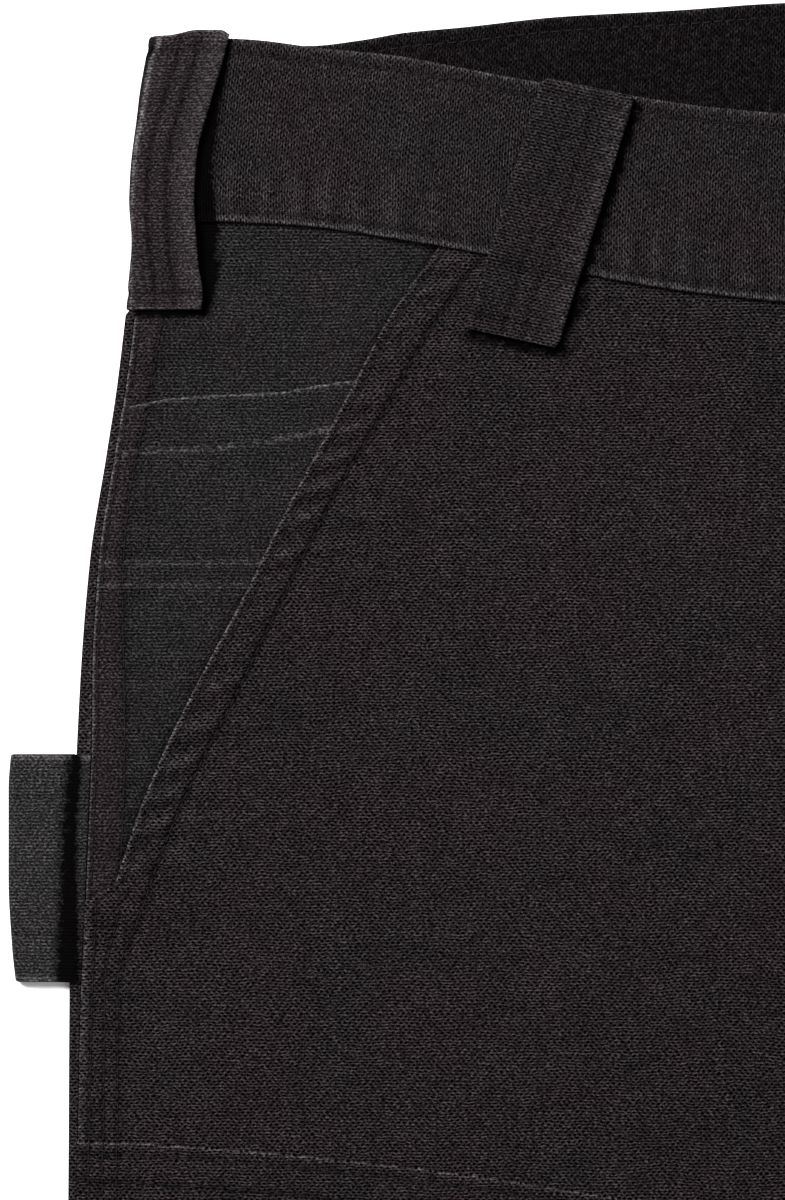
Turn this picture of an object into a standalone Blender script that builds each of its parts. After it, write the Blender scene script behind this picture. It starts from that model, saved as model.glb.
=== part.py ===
"""Carpenter pants in heavy dark duck canvas, laid flat on their back.

Lengths are in millimetres and become metres in place(). Three coordinates are used.
out    distance from the centre line towards the side seam
depth  distance down the garment from the waistband's top at the side seam
height distance above the surface that the garment lies on
The wearer's right is at -X, the waist is at +Y and the front faces +Z.
"""
import math
from collections import namedtuple

import bmesh
import bpy
from mathutils import Vector

MM = 0.001
RIGHT = -1
LEFT = 1

# Driving sizes of the garment
LENGTH = 1120.0
BACK_RISE = 10.75
CROTCH_DEPTH = 313.0
MIDDLE_DEPTH = (LENGTH - BACK_RISE) / 2

# Walls, and the gap between pieces
GAP = 0.3
CLOTH = 1.1
LIP = 1.2
BAND = LIP + GAP + CLOTH
STRAP = 1.4
FELL = 0.6
FELL_WIDTH = 10.5
INNER_FELL = 8.0
LEG_HEM = 12.5
STEP = 1.0

# Heights of the layers, from the surface up
BAND_BACK = STRAP + GAP
BAND_FRONT = 7.9
BAND_RADIUS = (BAND_FRONT - BAND_BACK) / 2
PANEL_AT_BACK_BAND = BAND_BACK + LIP + GAP
PANEL_AT_FRONT_BAND = BAND_FRONT - BAND
FOLD_RADIUS = 1.6
FACING_HEIGHT = 1.6
FACING_SINK = 1.0
FRONT_HEIGHT = 3.1
SEAM_LEVEL = 2.2
POCKET_LEVEL = 4.8
INSEAM_LEVEL = CLOTH + GAP

# How far each level reaches across a panel before it meets the next one
SIDE_REACH = 45.0
FACING_REACH = 16.0
INSEAM_REACH = 18.0
CROTCH_FADE = 25.0
WAIST_FALL = 48.0

# Waistband
BAND_HEIGHT = 45.6
SEAM_ALLOWANCE = 9.0
BAND_OVERLAP = 14.0
BAND_LAP_RAISE = 3.0
BAND_LAP_START = 28.0
BAND_LAP_END = 48.0

# Fly
FLY_LAP = 4.0
FLY_WIDTH = 38.0
FLY_FLAT = 26.0
FLY_RAISE = 1.8
FLY_RAISE_AT_BAND = 2.95
FLY_END = 236.0
FLY_FADE = 10.0
ZIP_WIDTH = 24.0
ZIP_THICKNESS = 1.1

# Slash pocket and the small pocket on its facing
POCKET_END = 211.5
POCKET_TURN = 4.5
FACING_UNDERLAP = 20.0
FACING_END = 213.0
COIN_TOP = 89.5
COIN_BOTTOM = 138.0
COIN_UNDERLAP = 6.0

# Straps, button and knee patch
LOOP_WIDTH = 23.0
LOOP_BELOW_BAND = 22.0
LOOP_SLANT = 0.22
LIP_REACH = 2.5
LOOP_CLEAR = 82.0
LOOP_FADE = 9.0
LOOP_INSET = 0.8
BAND_CLEAR = 54.0
BAND_FADE = 7.0
HAMMER_TOP = 179.2
HAMMER_BOTTOM = 236.3
PATCH_START = 276.0
PATCH_BOTTOM = 850.0
PATCH_HEM = 10.0
PATCH_BEND_START = 240.0
PATCH_BEND_END = 440.0
BUTTON_DEPTH = 43.0
BUTTON_SIDES = 20

# Outline of the side: depth, out
OUTLINE = [
    (0, 222.0), (16, 224.7), (40, 227.0), (50, 226.4), (63, 227.4), (83, 229.7),
    (104, 232.9), (130, 237.0), (161, 239.5), (203, 241.3), (240, 242.2), (290, 242.5),
    (400, 244.5), (620, 252.0), (860, 260.5), (1120, 268.0),
]
# Inner edge of a leg below the crotch: depth, out
INSEAM = [
    (313, 0.15), (325, 3.2), (345, 7.5), (380, 12.5), (500, 24.0), (700, 35.0),
    (900, 42.0), (1120, 46.0),
]
# How far the back panel comes round the side onto the front: depth, width
WRAP = [
    (46, 2.6), (110, 2.3), (150, 2.7), (180, 3.8), (215, 3.6), (240, 2.9), (290, 2.3), (1120, 2.6),
]
# Top edge of the front waistband: out, depth
FRONT_TOP = [
    (0, 23.2), (64, 19.0), (84, 17.2), (108, 13.6), (125, 11.2), (147, 7.1), (161, 4.5),
    (180, 2.5), (196, 0.5), (206, 0.0),
]
# Lower edge of the front waistband: out, depth
FRONT_LOW = [
    (0, 70.0), (64, 66.2), (89, 63.5), (113, 59.4), (138, 54.4), (159, 50.7), (184, 47.2),
    (206, 46.0),
]
# Top edge of the back waistband: out, depth
BACK_TOP = [
    (0, -BACK_RISE), (64, -9.1), (90, -7.3), (119, -5.7), (144, -3.0), (158, -1.7),
    (169, 0.2), (182, 1.6), (202, 1.2), (222, 0.0),
]
# Open edge of the slash pocket: depth, out
SLASH = [
    (40, 141.5), (53, 150.0), (69, 161.4), (87, 171.1), (121, 189.2), (138, 197.5),
    (158, 208.2), (176, 217.2), (193, 224.3), (211.5, 230.5),
]
# Top edge of the knee patch: out, depth
PATCH_TOP = [(0, 319.0), (40, 305.5), (106, 290.0), (170, 281.0), (216, 277.0), (242, 276.0)]

# Underside of the front panel along its outer edge: depth, height
EDGE_LEVEL = [(60, POCKET_LEVEL), (216, POCKET_LEVEL), (228, SEAM_LEVEL), (1120, SEAM_LEVEL)]
# Extra height where the pocket facing passes under the front: out, height
POCKET_BULK = [(20, 0.0), (60, 0.6), (118, CLOTH + GAP), (150, CLOTH + GAP), (168, 0.0)]
# Underside of the back panel: distance below the waistband's edge, height
BACK_LEVEL = [(1, PANEL_AT_BACK_BAND), (8, 1.75), (26, 1.75), (46, 0.0)]
# Underside of the pocket facing: distance below the waistband's edge, height
FACING_LEVEL = [
    (1, PANEL_AT_FRONT_BAND), (8, 4.4), (26, 3.4), (36, 2.3), (46, FACING_HEIGHT),
]

# Rows that follow the waistband's lower edge, and rows at a depth of their own
BAND_STEPS = (-SEAM_ALLOWANCE, 1.0, 8.0, 17.0, 26.0, 36.0, 48.0)
FRONT_DEPTHS = (
    130, 145, 160, 175, 188, 200, 211.5, 216, 222, 235.9, 237, 252, 275.9, 286, 287, 305, 318,
    332, 350, 375, 405, 440, 480, 520, 560, 600, 640, 680, 720, 760, 800, 849.9, 880, 920,
    970, 1020, 1070, 1107, 1108, 1120,
)
SIDE_DEPTHS = (112.5, COIN_BOTTOM, 155, 175, 194, FACING_END)
BACK_DEPTHS = (
    *SIDE_DEPTHS, 240, 290, 313, 325, 345, 380, 430, 500, 600, 700, 800, 900, 1000, 1060, 1120,
)
MIDDLE_COLUMNS = 6
BACK_COLUMNS = 6
# An edge and the depth of its row depend on each other, and settle from this start
START_OUT = 200.0
SETTLE_ROUNDS = 10

# Soft ridges of the front panels, each along a line from one end to the other
Fold = namedtuple("Fold", "out depth out_end depth_end half_width height")
FOLDS = {
    RIGHT: [
        Fold(10, 296, 118, 238, 27, 1.4),
        Fold(14, 326, 140, 352, 30, 1.6),
        Fold(48, 430, 190, 470, 36, 1.2),
        Fold(60, 655, 238, 606, 42, 1.7),
        Fold(70, 722, 205, 752, 38, 1.3),
        Fold(96, 915, 250, 868, 46, 1.4),
        Fold(66, 1012, 190, 1044, 40, 1.1),
    ],
    LEFT: [
        Fold(12, 300, 132, 252, 29, 1.5),
        Fold(16, 330, 128, 372, 31, 1.4),
        Fold(90, 405, 228, 442, 38, 1.1),
        Fold(56, 628, 214, 590, 40, 1.5),
        Fold(82, 700, 240, 716, 42, 1.6),
        Fold(70, 880, 214, 924, 44, 1.2),
        Fold(110, 1040, 240, 1006, 42, 1.2),
    ],
}

DUCK = (0.030, 0.028, 0.029)
DUCK_BAND = (0.034, 0.032, 0.032)
METAL = (0.30, 0.27, 0.23)
TAPE = (0.020, 0.020, 0.021)


def slope(table, index):
    """Slope at a row of a table, flat at a peak so that the curve never overshoots."""
    if index == 0:
        return rise(table, 0)
    if index == len(table) - 1:
        return rise(table, index - 1)
    before, after = rise(table, index - 1), rise(table, index)
    if before * after <= 0:
        return 0.0
    return 2 * before * after / (before + after)


def rise(table, index):
    """Straight slope between a row and the next one."""
    (start, low), (end, high) = table[index], table[index + 1]
    return (high - low) / (end - start)


def curve(table, at):
    """Smooth value of a two-column table, level past its ends."""
    if at <= table[0][0]:
        return table[0][1]
    if at >= table[-1][0]:
        return table[-1][1]
    index = next(i for i in range(len(table) - 1) if at <= table[i + 1][0])
    (start, low), (end, high) = table[index], table[index + 1]
    span = end - start
    t = (at - start) / span
    bend = (1 - t) * slope(table, index) - t * slope(table, index + 1)
    straight = (high - low) / span
    return low + (high - low) * t + span * t * (1 - t) * (bend - (1 - 2 * t) * straight)


def clip(value):
    return min(max(value, 0.0), 1.0)


def ease(value):
    """Soft step from 0 to 1."""
    value = clip(value)
    return value * value * (3 - 2 * value)


def mix(start, end, share):
    return start + (end - start) * share


def place(side, out, depth, height):
    """World point, in metres."""
    return Vector((side * out * MM, (MIDDLE_DEPTH - depth) * MM, height * MM))


def front_low(out):
    return curve(FRONT_LOW, out)


def back_low(out):
    return curve(BACK_TOP, out) + BAND_HEIGHT + GAP


def body_out(depth):
    """Side of the waistband and of the panels, inside the side belt loop."""
    return curve(OUTLINE, depth) - (STRAP + GAP) * ease((LOOP_CLEAR - depth) / LOOP_FADE)


def fold_out(depth):
    """Side fold of the back panel, which goes inside the waistband and the side belt loop."""
    in_loop = LOOP_INSET * ease((LOOP_CLEAR - depth) / LOOP_FADE)
    in_band = (LIP + GAP - LOOP_INSET) * ease((BAND_CLEAR - depth) / BAND_FADE)
    return body_out(depth) - in_loop - in_band


def seam_out(depth):
    """Edge of the back panel where it has come round onto the front."""
    return fold_out(depth) - curve(WRAP, depth)


def fold_base(depth):
    """Underside of the back panel at its side fold."""
    return curve(BACK_LEVEL, depth - BAND_HEIGHT - GAP)


def inner_out(depth):
    """Inner edge of a panel: the centre seam, then the inseam."""
    return curve(INSEAM, depth)


def front_outer(depth):
    """Outer edge of the front panel: the slash pocket, then the side seam."""
    slash = curve(SLASH, depth)
    return mix(slash, seam_out(depth) - GAP, clip((depth - POCKET_END) / POCKET_TURN))


def front_inner(side, depth):
    """Inner edge of the front panel, with the left one lapped over at the fly."""
    if side == LEFT and depth < FLY_END:
        return -FLY_LAP
    return inner_out(depth)


def ridge(fold, out, depth):
    """Height of one soft fold."""
    along_x, along_y = fold.out_end - fold.out, fold.depth_end - fold.depth
    length = math.hypot(along_x, along_y)
    t = ((out - fold.out) * along_x + (depth - fold.depth) * along_y) / length ** 2
    reach = mix(1.0, 0.55, clip(t))
    nearest = clip(t)
    away = math.hypot(out - fold.out - nearest * along_x, depth - fold.depth - nearest * along_y)
    return fold.height * (1 - clip(away / (fold.half_width * reach)) ** 2) ** 2


def fly_raise(side, out, depth):
    """How far the left front stands up over the zip."""
    if side == RIGHT:
        return 0.0
    below = depth - front_low(out)
    height = mix(FLY_RAISE, FLY_RAISE_AT_BAND, ease((20 - below) / 14))
    across = ease((FLY_WIDTH - out) / (FLY_WIDTH - FLY_FLAT))
    return height * across * ease((FLY_END + FLY_FADE - depth) / FLY_FADE + 0.2)


def front_under(side, out, depth):
    """Underside of the front panel."""
    near_side = ease(1 - (front_outer(depth) - out) / SIDE_REACH)
    height = mix(FRONT_HEIGHT, curve(EDGE_LEVEL, depth), near_side)
    near_inseam = ease(1 - (out - inner_out(depth)) / INSEAM_REACH)
    in_leg = ease(1 + (depth - CROTCH_DEPTH) / CROTCH_FADE)
    height -= near_inseam * in_leg * (FRONT_HEIGHT - INSEAM_LEVEL)
    height += sum(ridge(fold, out, depth) for fold in FOLDS[side]) * (1 - near_inseam)
    at_band = PANEL_AT_FRONT_BAND + curve(POCKET_BULK, out)
    waist = ease(1 - (depth - front_low(out) - 1) / WAIST_FALL)
    return mix(height, at_band, waist) + fly_raise(side, out, depth)


def front_thickness(side, out, depth):
    """Wall of the front panel, doubled at its hems and felled seams."""
    from_side = front_outer(depth) - out
    from_inside = out - inner_out(depth)
    felled_from = FLY_END if side == LEFT else CROTCH_DEPTH
    doubled = from_side < FELL_WIDTH + STEP / 2 and depth - front_low(out) > STEP
    doubled = doubled or (from_inside < INNER_FELL + STEP / 2 and depth > felled_from)
    doubled = doubled or depth > LENGTH - LEG_HEM
    return CLOTH + FELL * doubled


def front_top(side, out, depth):
    return front_under(side, out, depth) + front_thickness(side, out, depth)


def patch_share(depth):
    """How much a row bends with the knee patch's top edge."""
    if depth < PATCH_START:
        return clip((depth - PATCH_BEND_START) / (PATCH_START - 1 - PATCH_BEND_START))
    return clip((PATCH_BEND_END - depth) / (PATCH_BEND_END - CROTCH_DEPTH + 8))


def front_depth(row, out):
    """Depth of a grid row, which may follow the waistband or the knee patch."""
    follows_band, base = row
    if follows_band:
        return front_low(out) + base
    return base + patch_share(base) * (curve(PATCH_TOP, out) - PATCH_START)


def front_columns(side, row):
    """Places of a row's points, from the side to the inner edge."""
    outer, inner = START_OUT, 0.0
    for _ in range(SETTLE_ROUNDS):
        outer = front_outer(front_depth(row, outer))
        inner = front_inner(side, front_depth(row, inner))
    first = [outer, outer - FELL_WIDTH, outer - FELL_WIDTH - STEP]
    steps_in = (FLY_WIDTH + FLY_LAP, FLY_FLAT + FLY_LAP, INNER_FELL + STEP, INNER_FELL, 0.0)
    last = [inner + step for step in steps_in]
    steps = MIDDLE_COLUMNS + 1
    middle = [mix(first[-1], last[0], i / steps) for i in range(1, steps)]
    return first + middle + last


FRONT_ROWS = [(True, step) for step in BAND_STEPS] + [(False, depth) for depth in FRONT_DEPTHS]


def front_grid(side, rows):
    """Out and depth of a front panel's points."""
    grid = []
    for row in rows:
        grid.append([(out, front_depth(row, out)) for out in front_columns(side, row)])
    return grid


def new_object(name, mesh_data, colour, roughness=0.9, metallic=0.0):
    """Puts a finished bmesh in the scene with a material of its own."""
    bmesh.ops.recalc_face_normals(mesh_data, faces=mesh_data.faces)
    mesh = bpy.data.meshes.new(name)
    mesh_data.to_mesh(mesh)
    mesh_data.free()
    material = bpy.data.materials.new(name)
    material.use_nodes = True
    shader = material.node_tree.nodes["Principled BSDF"]
    shader.inputs["Base Color"].default_value = (*colour, 1)
    shader.inputs["Roughness"].default_value = roughness
    shader.inputs["Metallic"].default_value = metallic
    mesh.materials.append(material)
    piece = bpy.data.objects.new(name, mesh)
    bpy.context.scene.collection.objects.link(piece)
    return piece


def border(rows, columns):
    """Grid places round the edge of a grid, in order."""
    around = [(0, c) for c in range(columns)]
    around += [(r, columns - 1) for r in range(1, rows)]
    around += [(rows - 1, c) for c in range(columns - 2, -1, -1)]
    around += [(r, 0) for r in range(rows - 2, 0, -1)]
    return around


def wall(name, outer, inner, colour):
    """A closed wall between two grids of points."""
    data = bmesh.new()
    first = [[data.verts.new(point) for point in row] for row in outer]
    second = [[data.verts.new(point) for point in row] for row in inner]
    rows, columns = len(outer), len(outer[0])
    for r in range(rows - 1):
        for c in range(columns - 1):
            near, far = (r, c), (r + 1, c + 1)
            for corners in ((near, (r, c + 1), far), (near, far, (r + 1, c))):
                data.faces.new([first[i][j] for i, j in corners])
                data.faces.new([second[i][j] for i, j in reversed(corners)])
    around = border(rows, columns)
    for (r, c), (i, j) in zip(around, around[1:] + around[:1]):
        data.faces.new((first[i][j], first[r][c], second[r][c], second[i][j]))
    return new_object(name, data, colour)


def tube(name, rings, colour, roughness=0.9, metallic=0.0):
    """A closed body through rings of points, with a face on each end."""
    data = bmesh.new()
    loops = [[data.verts.new(point) for point in ring] for ring in rings]
    for near, far in zip(loops, loops[1:]):
        count = len(near)
        for i in range(count):
            j = (i + 1) % count
            data.faces.new((near[i], near[j], far[j], far[i]))
    data.faces.new(loops[0])
    data.faces.new(list(reversed(loops[-1])))
    return new_object(name, data, colour, roughness, metallic)


def front_panel(side, name):
    grid = front_grid(side, FRONT_ROWS)
    top = [[place(side, o, d, front_top(side, o, d)) for o, d in row] for row in grid]
    under = [[place(side, o, d, front_under(side, o, d)) for o, d in row] for row in grid]
    wall(name, top, under, DUCK)


def back_section(follows_band, base):
    """Outer and inner points of one row of the back panel, from the front round the side."""
    side_depth = BAND_HEIGHT + GAP + base if follows_band else base
    level = fold_base(side_depth)
    centre = fold_out(side_depth) - FOLD_RADIUS
    outer = [(seam_out(side_depth), side_depth, level + 2 * FOLD_RADIUS)]
    inner = [(seam_out(side_depth), side_depth, level + 2 * FOLD_RADIUS - CLOTH)]
    for angle in (90, 55, 20, -15, -50, -90):
        turn = math.radians(angle)
        for points, radius in ((outer, FOLD_RADIUS), (inner, FOLD_RADIUS - CLOTH)):
            points.append((centre + radius * math.cos(turn), side_depth,
                           level + FOLD_RADIUS + radius * math.sin(turn)))
    for i in range(1, BACK_COLUMNS + 1):
        out = mix(centre, inner_out(side_depth), i / BACK_COLUMNS)
        depth = back_low(out) + base if follows_band else base
        level = curve(BACK_LEVEL, depth - back_low(out))
        outer.append((out, depth, level))
        inner.append((out, depth, level + CLOTH))
    return outer, inner


def back_panel(side, name):
    sections = [back_section(True, step) for step in BAND_STEPS]
    sections += [back_section(False, depth) for depth in BACK_DEPTHS]
    outer = [[place(side, *point) for point in section[0]] for section in sections]
    inner = [[place(side, *point) for point in section[1]] for section in sections]
    wall(name, outer, inner, DUCK)


def facing_under(out, depth):
    """Underside of the pocket facing, which rises to the side seam."""
    seam_level = fold_base(depth) + 2 * FOLD_RADIUS - FACING_SINK
    near_seam = ease(1 - (seam_out(depth) - GAP - out) / FACING_REACH)
    return mix(curve(FACING_LEVEL, depth - front_low(out)), seam_level, near_seam)


def facing_thickness(out, depth):
    felled = seam_out(depth) - GAP - out < FELL_WIDTH + STEP / 2
    return CLOTH + FELL * (felled and depth - front_low(out) > STEP)


def facing_depth(row, out):
    """Depth of a row of the pocket facing."""
    follows_band, base = row
    return front_low(out) + base if follows_band else base


def facing_grid():
    """Out and depth of the pocket facing's points."""
    rows = [(True, step) for step in BAND_STEPS[:-1]]
    rows += [(False, depth) for depth in (COIN_TOP + 1, *SIDE_DEPTHS)]
    grid = []
    for row in rows:
        seam = slash = START_OUT
        for _ in range(SETTLE_ROUNDS):
            seam = seam_out(facing_depth(row, seam)) - GAP
            slash = curve(SLASH, facing_depth(row, slash))
        inner = [slash - COIN_UNDERLAP, slash - FACING_UNDERLAP]
        places = [seam, seam - FELL_WIDTH, seam - FELL_WIDTH - STEP]
        places += [mix(places[-1], inner[0], i / 4) for i in range(1, 4)] + inner
        if seam - slash < 2 * FELL_WIDTH:
            places = [mix(seam, inner[1], i / 7) for i in range(8)]
        grid.append([(out, facing_depth(row, out)) for out in places])
    return grid


def pocket_facing(side, name):
    grid = facing_grid()
    under = [[place(side, o, d, facing_under(o, d)) for o, d in row] for row in grid]
    top = [[place(side, o, d, facing_under(o, d) + facing_thickness(o, d)) for o, d in row]
           for row in grid]
    wall(name, top, under, DUCK)


def coin_pocket(side, name):
    """Small pocket sewn on the facing, made from the facing's points moved out."""
    rows = [row[:-1] for row in facing_grid() if COIN_TOP < row[0][1] <= COIN_BOTTOM]
    layers = []
    for lift in (GAP, GAP + CLOTH):
        layer = []
        for row in rows:
            layer.append([place(side, o, d, facing_under(o, d) + facing_thickness(o, d) + lift)
                          for o, d in row])
        layers.append(layer)
    wall(name, layers[1], layers[0], DUCK)


def band_level(side, out):
    """Outer face of the front waistband."""
    level = BAND_FRONT + curve(POCKET_BULK, out)
    if side == LEFT:
        level += BAND_LAP_RAISE * ease((BAND_LAP_END - out) / (BAND_LAP_END - BAND_LAP_START))
    return level


# Section of the waistband: share of its height, distance in from its outer face
BAND_SECTION = [
    (0.0, 0.9), (0.014, 0.0), (0.27, 0.0), (0.54, 0.0), (0.80, 0.0), (1.0, 0.0),
    (1.0, LIP), (1 - (SEAM_ALLOWANCE + GAP) / BAND_HEIGHT, LIP),
    (1 - (SEAM_ALLOWANCE + GAP) / BAND_HEIGHT, BAND), (0.014, BAND),
]


def band_ring(side, out_share, angle):
    """Ring of the waistband, at a share of the way out and an angle round the side fold.

    The angle is 90 degrees on the front, 0 at the side and -90 on the back.
    """
    ring = []
    for share, inward in BAND_SECTION:
        fold = body_out(share * BAND_HEIGHT) - BAND_RADIUS
        out = mix(-BAND_OVERLAP if angle > 0 else 0.15, fold, out_share)
        if angle > 0:
            top, low = curve(FRONT_TOP, out), front_low(out)
            base = band_level(side, out) - BAND_RADIUS
        else:
            top, low = curve(BACK_TOP, out), curve(BACK_TOP, out) + BAND_HEIGHT
            base = BAND_BACK + BAND_RADIUS
        if out_share == 1:
            top, low, base = 0.0, BAND_HEIGHT, BAND_BACK + BAND_RADIUS
        turn = math.radians(angle)
        radius = BAND_RADIUS - inward
        ring.append(place(side, out + radius * math.cos(turn), mix(top, low, share),
                          base + radius * math.sin(turn)))
    return ring


def waistband(side, name):
    """Half of the waistband: along the front, round the side and along the back."""
    stations = [0, 0.05, 0.11, 0.17, 0.23, 0.34, 0.45, 0.53, 0.61, 0.69, 0.75, 0.82, 0.9, 0.96]
    rings = [band_ring(side, share, 90) for share in stations]
    rings += [band_ring(side, 1, angle) for angle in (90, 50, 15, -15, -50, -90)]
    rings += [band_ring(side, share, -90) for share in (0.93, 0.85, 0.75, 0.6, 0.4, 0.2, 0)]
    tube(name, rings, DUCK_BAND)


def front_cover(side, out, depth):
    """Top of whatever lies uppermost at a place near the front waistband."""
    if depth < front_low(out) + LIP_REACH:
        return band_level(side, out)
    return front_top(side, out, depth)


# Front belt loop: out and depth of its top, out and depth of its lower end, along its middle
FRONT_LOOP = (112.2, 12.6, 131.4, 75.2)
# Share of a loop's length, and how far it stands off what is under it
LOOP_STAND = [
    (0.0, 0.3), (0.06, 0.7), (0.3, 1.1), (0.55, 1.0), (0.7, 0.5), (0.76, 0.4), (0.86, 0.5),
    (0.93, 0.35), (1.0, 0.3),
]


def front_loop(side, name):
    top_out, top_depth, low_out, low_depth = FRONT_LOOP
    under, outer = [], []
    for share, stand in LOOP_STAND:
        line = []
        middle = mix(top_out, low_out, share)
        for across in (-0.5, -0.4, 0.0, 0.4, 0.5):
            out = middle + across * LOOP_WIDTH
            depth = mix(top_depth, low_depth, share) - across * LOOP_WIDTH * LOOP_SLANT
            line.append((out, depth))
        floor = max(front_cover(side, out, depth) for out, depth in line)
        under.append([place(side, o, d, floor + stand) for o, d in line])
        outer.append([place(side, o, d, floor + stand + STRAP) for o, d in line])
    wall(name, outer, under, DUCK_BAND)


# Side belt loop: depth, underside of its front part, out of its front edge
SIDE_LOOP = [
    (-1.0, 8.25, 203.5), (3.0, 8.5, 205.0), (15.0, 8.9, 207.0), (30.0, 8.9, 209.5),
    (42.0, 8.4, 210.5), (47.5, 8.2, 210.0), (52.0, 7.0, 209.5), (60.0, 6.6, 209.2),
    (68.0, 6.2, 209.4),
]


def side_loop(side, name):
    """Belt loop on the side seam, folded round the side with the garment."""
    outer, inner = [], []
    for depth, level, front_edge in SIDE_LOOP:
        centre = body_out(depth) - BAND_RADIUS
        middle = (level + STRAP) / 2
        back_run = LOOP_WIDTH - (centre - front_edge) - math.pi * middle * 0.75
        lines = []
        for face, radius in ((0, middle), (1, middle - STRAP)):
            line = [(front_edge, middle + radius), (mix(front_edge, centre, 0.5), middle + radius)]
            for angle in (90, 54, 18, -18, -54, -90):
                turn = math.radians(angle)
                line.append((centre + (BAND_RADIUS + STRAP + GAP - face * STRAP)
                             * math.cos(turn), middle + radius * math.sin(turn)))
            line.append((centre - max(back_run, 2.0), middle - radius))
            lines.append([place(side, out, depth, height) for out, height in line])
        outer.append(lines[0])
        inner.append(lines[1])
    wall(name, outer, inner, DUCK_BAND)


def back_loop(centre, name):
    """Belt loop under the back waistband, pressed flat by the garment's weight."""
    under, outer = [], []
    side = RIGHT if centre < 0 else LEFT
    for share in (0.0, 0.05, 0.5, 0.95, 1.0):
        line = []
        for across in (-0.5, 0.0, 0.5):
            out = abs(centre) + across * LOOP_WIDTH
            top = curve(BACK_TOP, abs(out))
            line.append((out, top + share * (BAND_HEIGHT + LOOP_BELOW_BAND)))
        under.append([place(side, o, d, 0.0) for o, d in line])
        outer.append([place(side, o, d, STRAP) for o, d in line])
    wall(name, outer, under, DUCK_BAND)


# Hammer loop: share of its depth, out of its folded edge
HAMMER_EDGE = [(0.0, 256.9), (0.15, 257.5), (0.55, 257.5), (0.85, 256.6), (1.0, 255.7)]
HAMMER_WALL = 1.2


def hammer_loop(side, name):
    """Strap caught in the side seam, doubled back under itself."""
    outer, inner = [], []
    for share, edge in HAMMER_EDGE:
        depth = mix(HAMMER_TOP, HAMMER_BOTTOM, share)
        fold = fold_out(depth)
        root = seam_out(depth) + 0.4
        top = 2 * FOLD_RADIUS + GAP + HAMMER_WALL
        radius = 1.7
        centre = edge - radius
        outer_line = [(root, top), (fold - 1.0, top), (fold + 2.0, top - 0.3),
                      (mix(fold, centre, 0.5), top - 1.0), (centre, 2 * radius),
                      (centre + radius * 0.7, radius * 1.7), (edge, radius),
                      (centre + radius * 0.7, radius * 0.3), (centre, 0.0),
                      (mix(fold, centre, 0.4), 0.0), (fold + GAP + 0.2, 0.0)]
        thin = radius - HAMMER_WALL
        inner_line = [(root, top - HAMMER_WALL), (fold - 1.0, top - HAMMER_WALL),
                      (fold + 1.8, top - 0.3 - HAMMER_WALL),
                      (mix(fold, centre, 0.5), top - 1.0 - HAMMER_WALL),
                      (centre, 2 * radius - HAMMER_WALL),
                      (centre + thin * 0.7, radius + thin * 0.7), (centre + thin, radius),
                      (centre + thin * 0.7, radius - thin * 0.7), (centre, HAMMER_WALL),
                      (mix(fold, centre, 0.4), HAMMER_WALL), (fold + GAP + 0.2, HAMMER_WALL)]
        outer.append([place(side, out, depth, height) for out, height in outer_line])
        inner.append([place(side, out, depth, height) for out, height in inner_line])
    wall(name, outer, inner, DUCK)


def knee_patch(side, name):
    """Double front, made from the front panel's points moved out."""
    rows = [row for row in FRONT_ROWS if not row[0] and PATCH_START - 1 < row[1] < PATCH_BOTTOM]
    grid = front_grid(side, rows)
    under, top = [], []
    for (_, base), row in zip(rows, grid):
        doubled = FELL * (base < PATCH_START + PATCH_HEM + STEP / 2)
        under.append([place(side, o, d, front_top(side, o, d) + GAP) for o, d in row])
        top.append([place(side, o, d, front_top(side, o, d) + GAP + CLOTH + doubled)
                    for o, d in row])
    wall(name, top, under, DUCK)


def zip_strip(name):
    """Closed zip, beside the right front's edge and under the left front."""
    under, top = [], []
    rows = [row for row in FRONT_ROWS if row[0] and row[1] > 1 or not row[0] and row[1] < 228]
    for row in rows:
        line = []
        for across in (0.6, ZIP_WIDTH / 2, ZIP_WIDTH):
            depth = front_depth(row, across)
            line.append((across, depth, front_under(RIGHT, across, depth) + 0.1))
        under.append([place(LEFT, *point) for point in line])
        top.append([place(LEFT, o, d, height + ZIP_THICKNESS) for o, d, height in line])
    wall(name, top, under, TAPE)


# Button: radius, height above the waistband
BUTTON_PROFILE = [
    (4.0, 0.0), (4.0, 1.2), (7.6, 1.4), (8.5, 2.0), (8.3, 2.9), (7.2, 3.3), (6.6, 3.0), (3.4, 3.0),
    (2.6, 3.4),
]


def waist_button(name):
    """Turned metal button, standing on the lapped end of the waistband."""
    base = band_level(LEFT, 0.0) + GAP
    rings = []
    for radius, height in BUTTON_PROFILE:
        ring = []
        for i in range(BUTTON_SIDES):
            turn = 2 * math.pi * i / BUTTON_SIDES
            ring.append(place(LEFT, radius * math.cos(turn),
                              BUTTON_DEPTH + radius * math.sin(turn), base + height))
        rings.append(ring)
    tube(name, rings, METAL, 0.4, 1.0)


def build():
    for old in list(bpy.data.objects):
        bpy.data.objects.remove(old, do_unlink=True)
    for side, word in ((RIGHT, "right"), (LEFT, "left")):
        front_panel(side, "front_" + word)
        back_panel(side, "back_" + word)
        pocket_facing(side, "pocket_facing_" + word)
        knee_patch(side, "knee_patch_" + word)
        waistband(side, "waistband_" + word)
        front_loop(side, "belt_loop_front_" + word)
        side_loop(side, "belt_loop_side_" + word)
    coin_pocket(RIGHT, "coin_pocket")
    hammer_loop(RIGHT, "hammer_loop")
    for centre, word in ((-115.0, "back_right"), (0.0, "back_centre"), (115.0, "back_left")):
        back_loop(centre, "belt_loop_" + word)
    zip_strip("fly_zip")
    waist_button("waist_button")


build()
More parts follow.
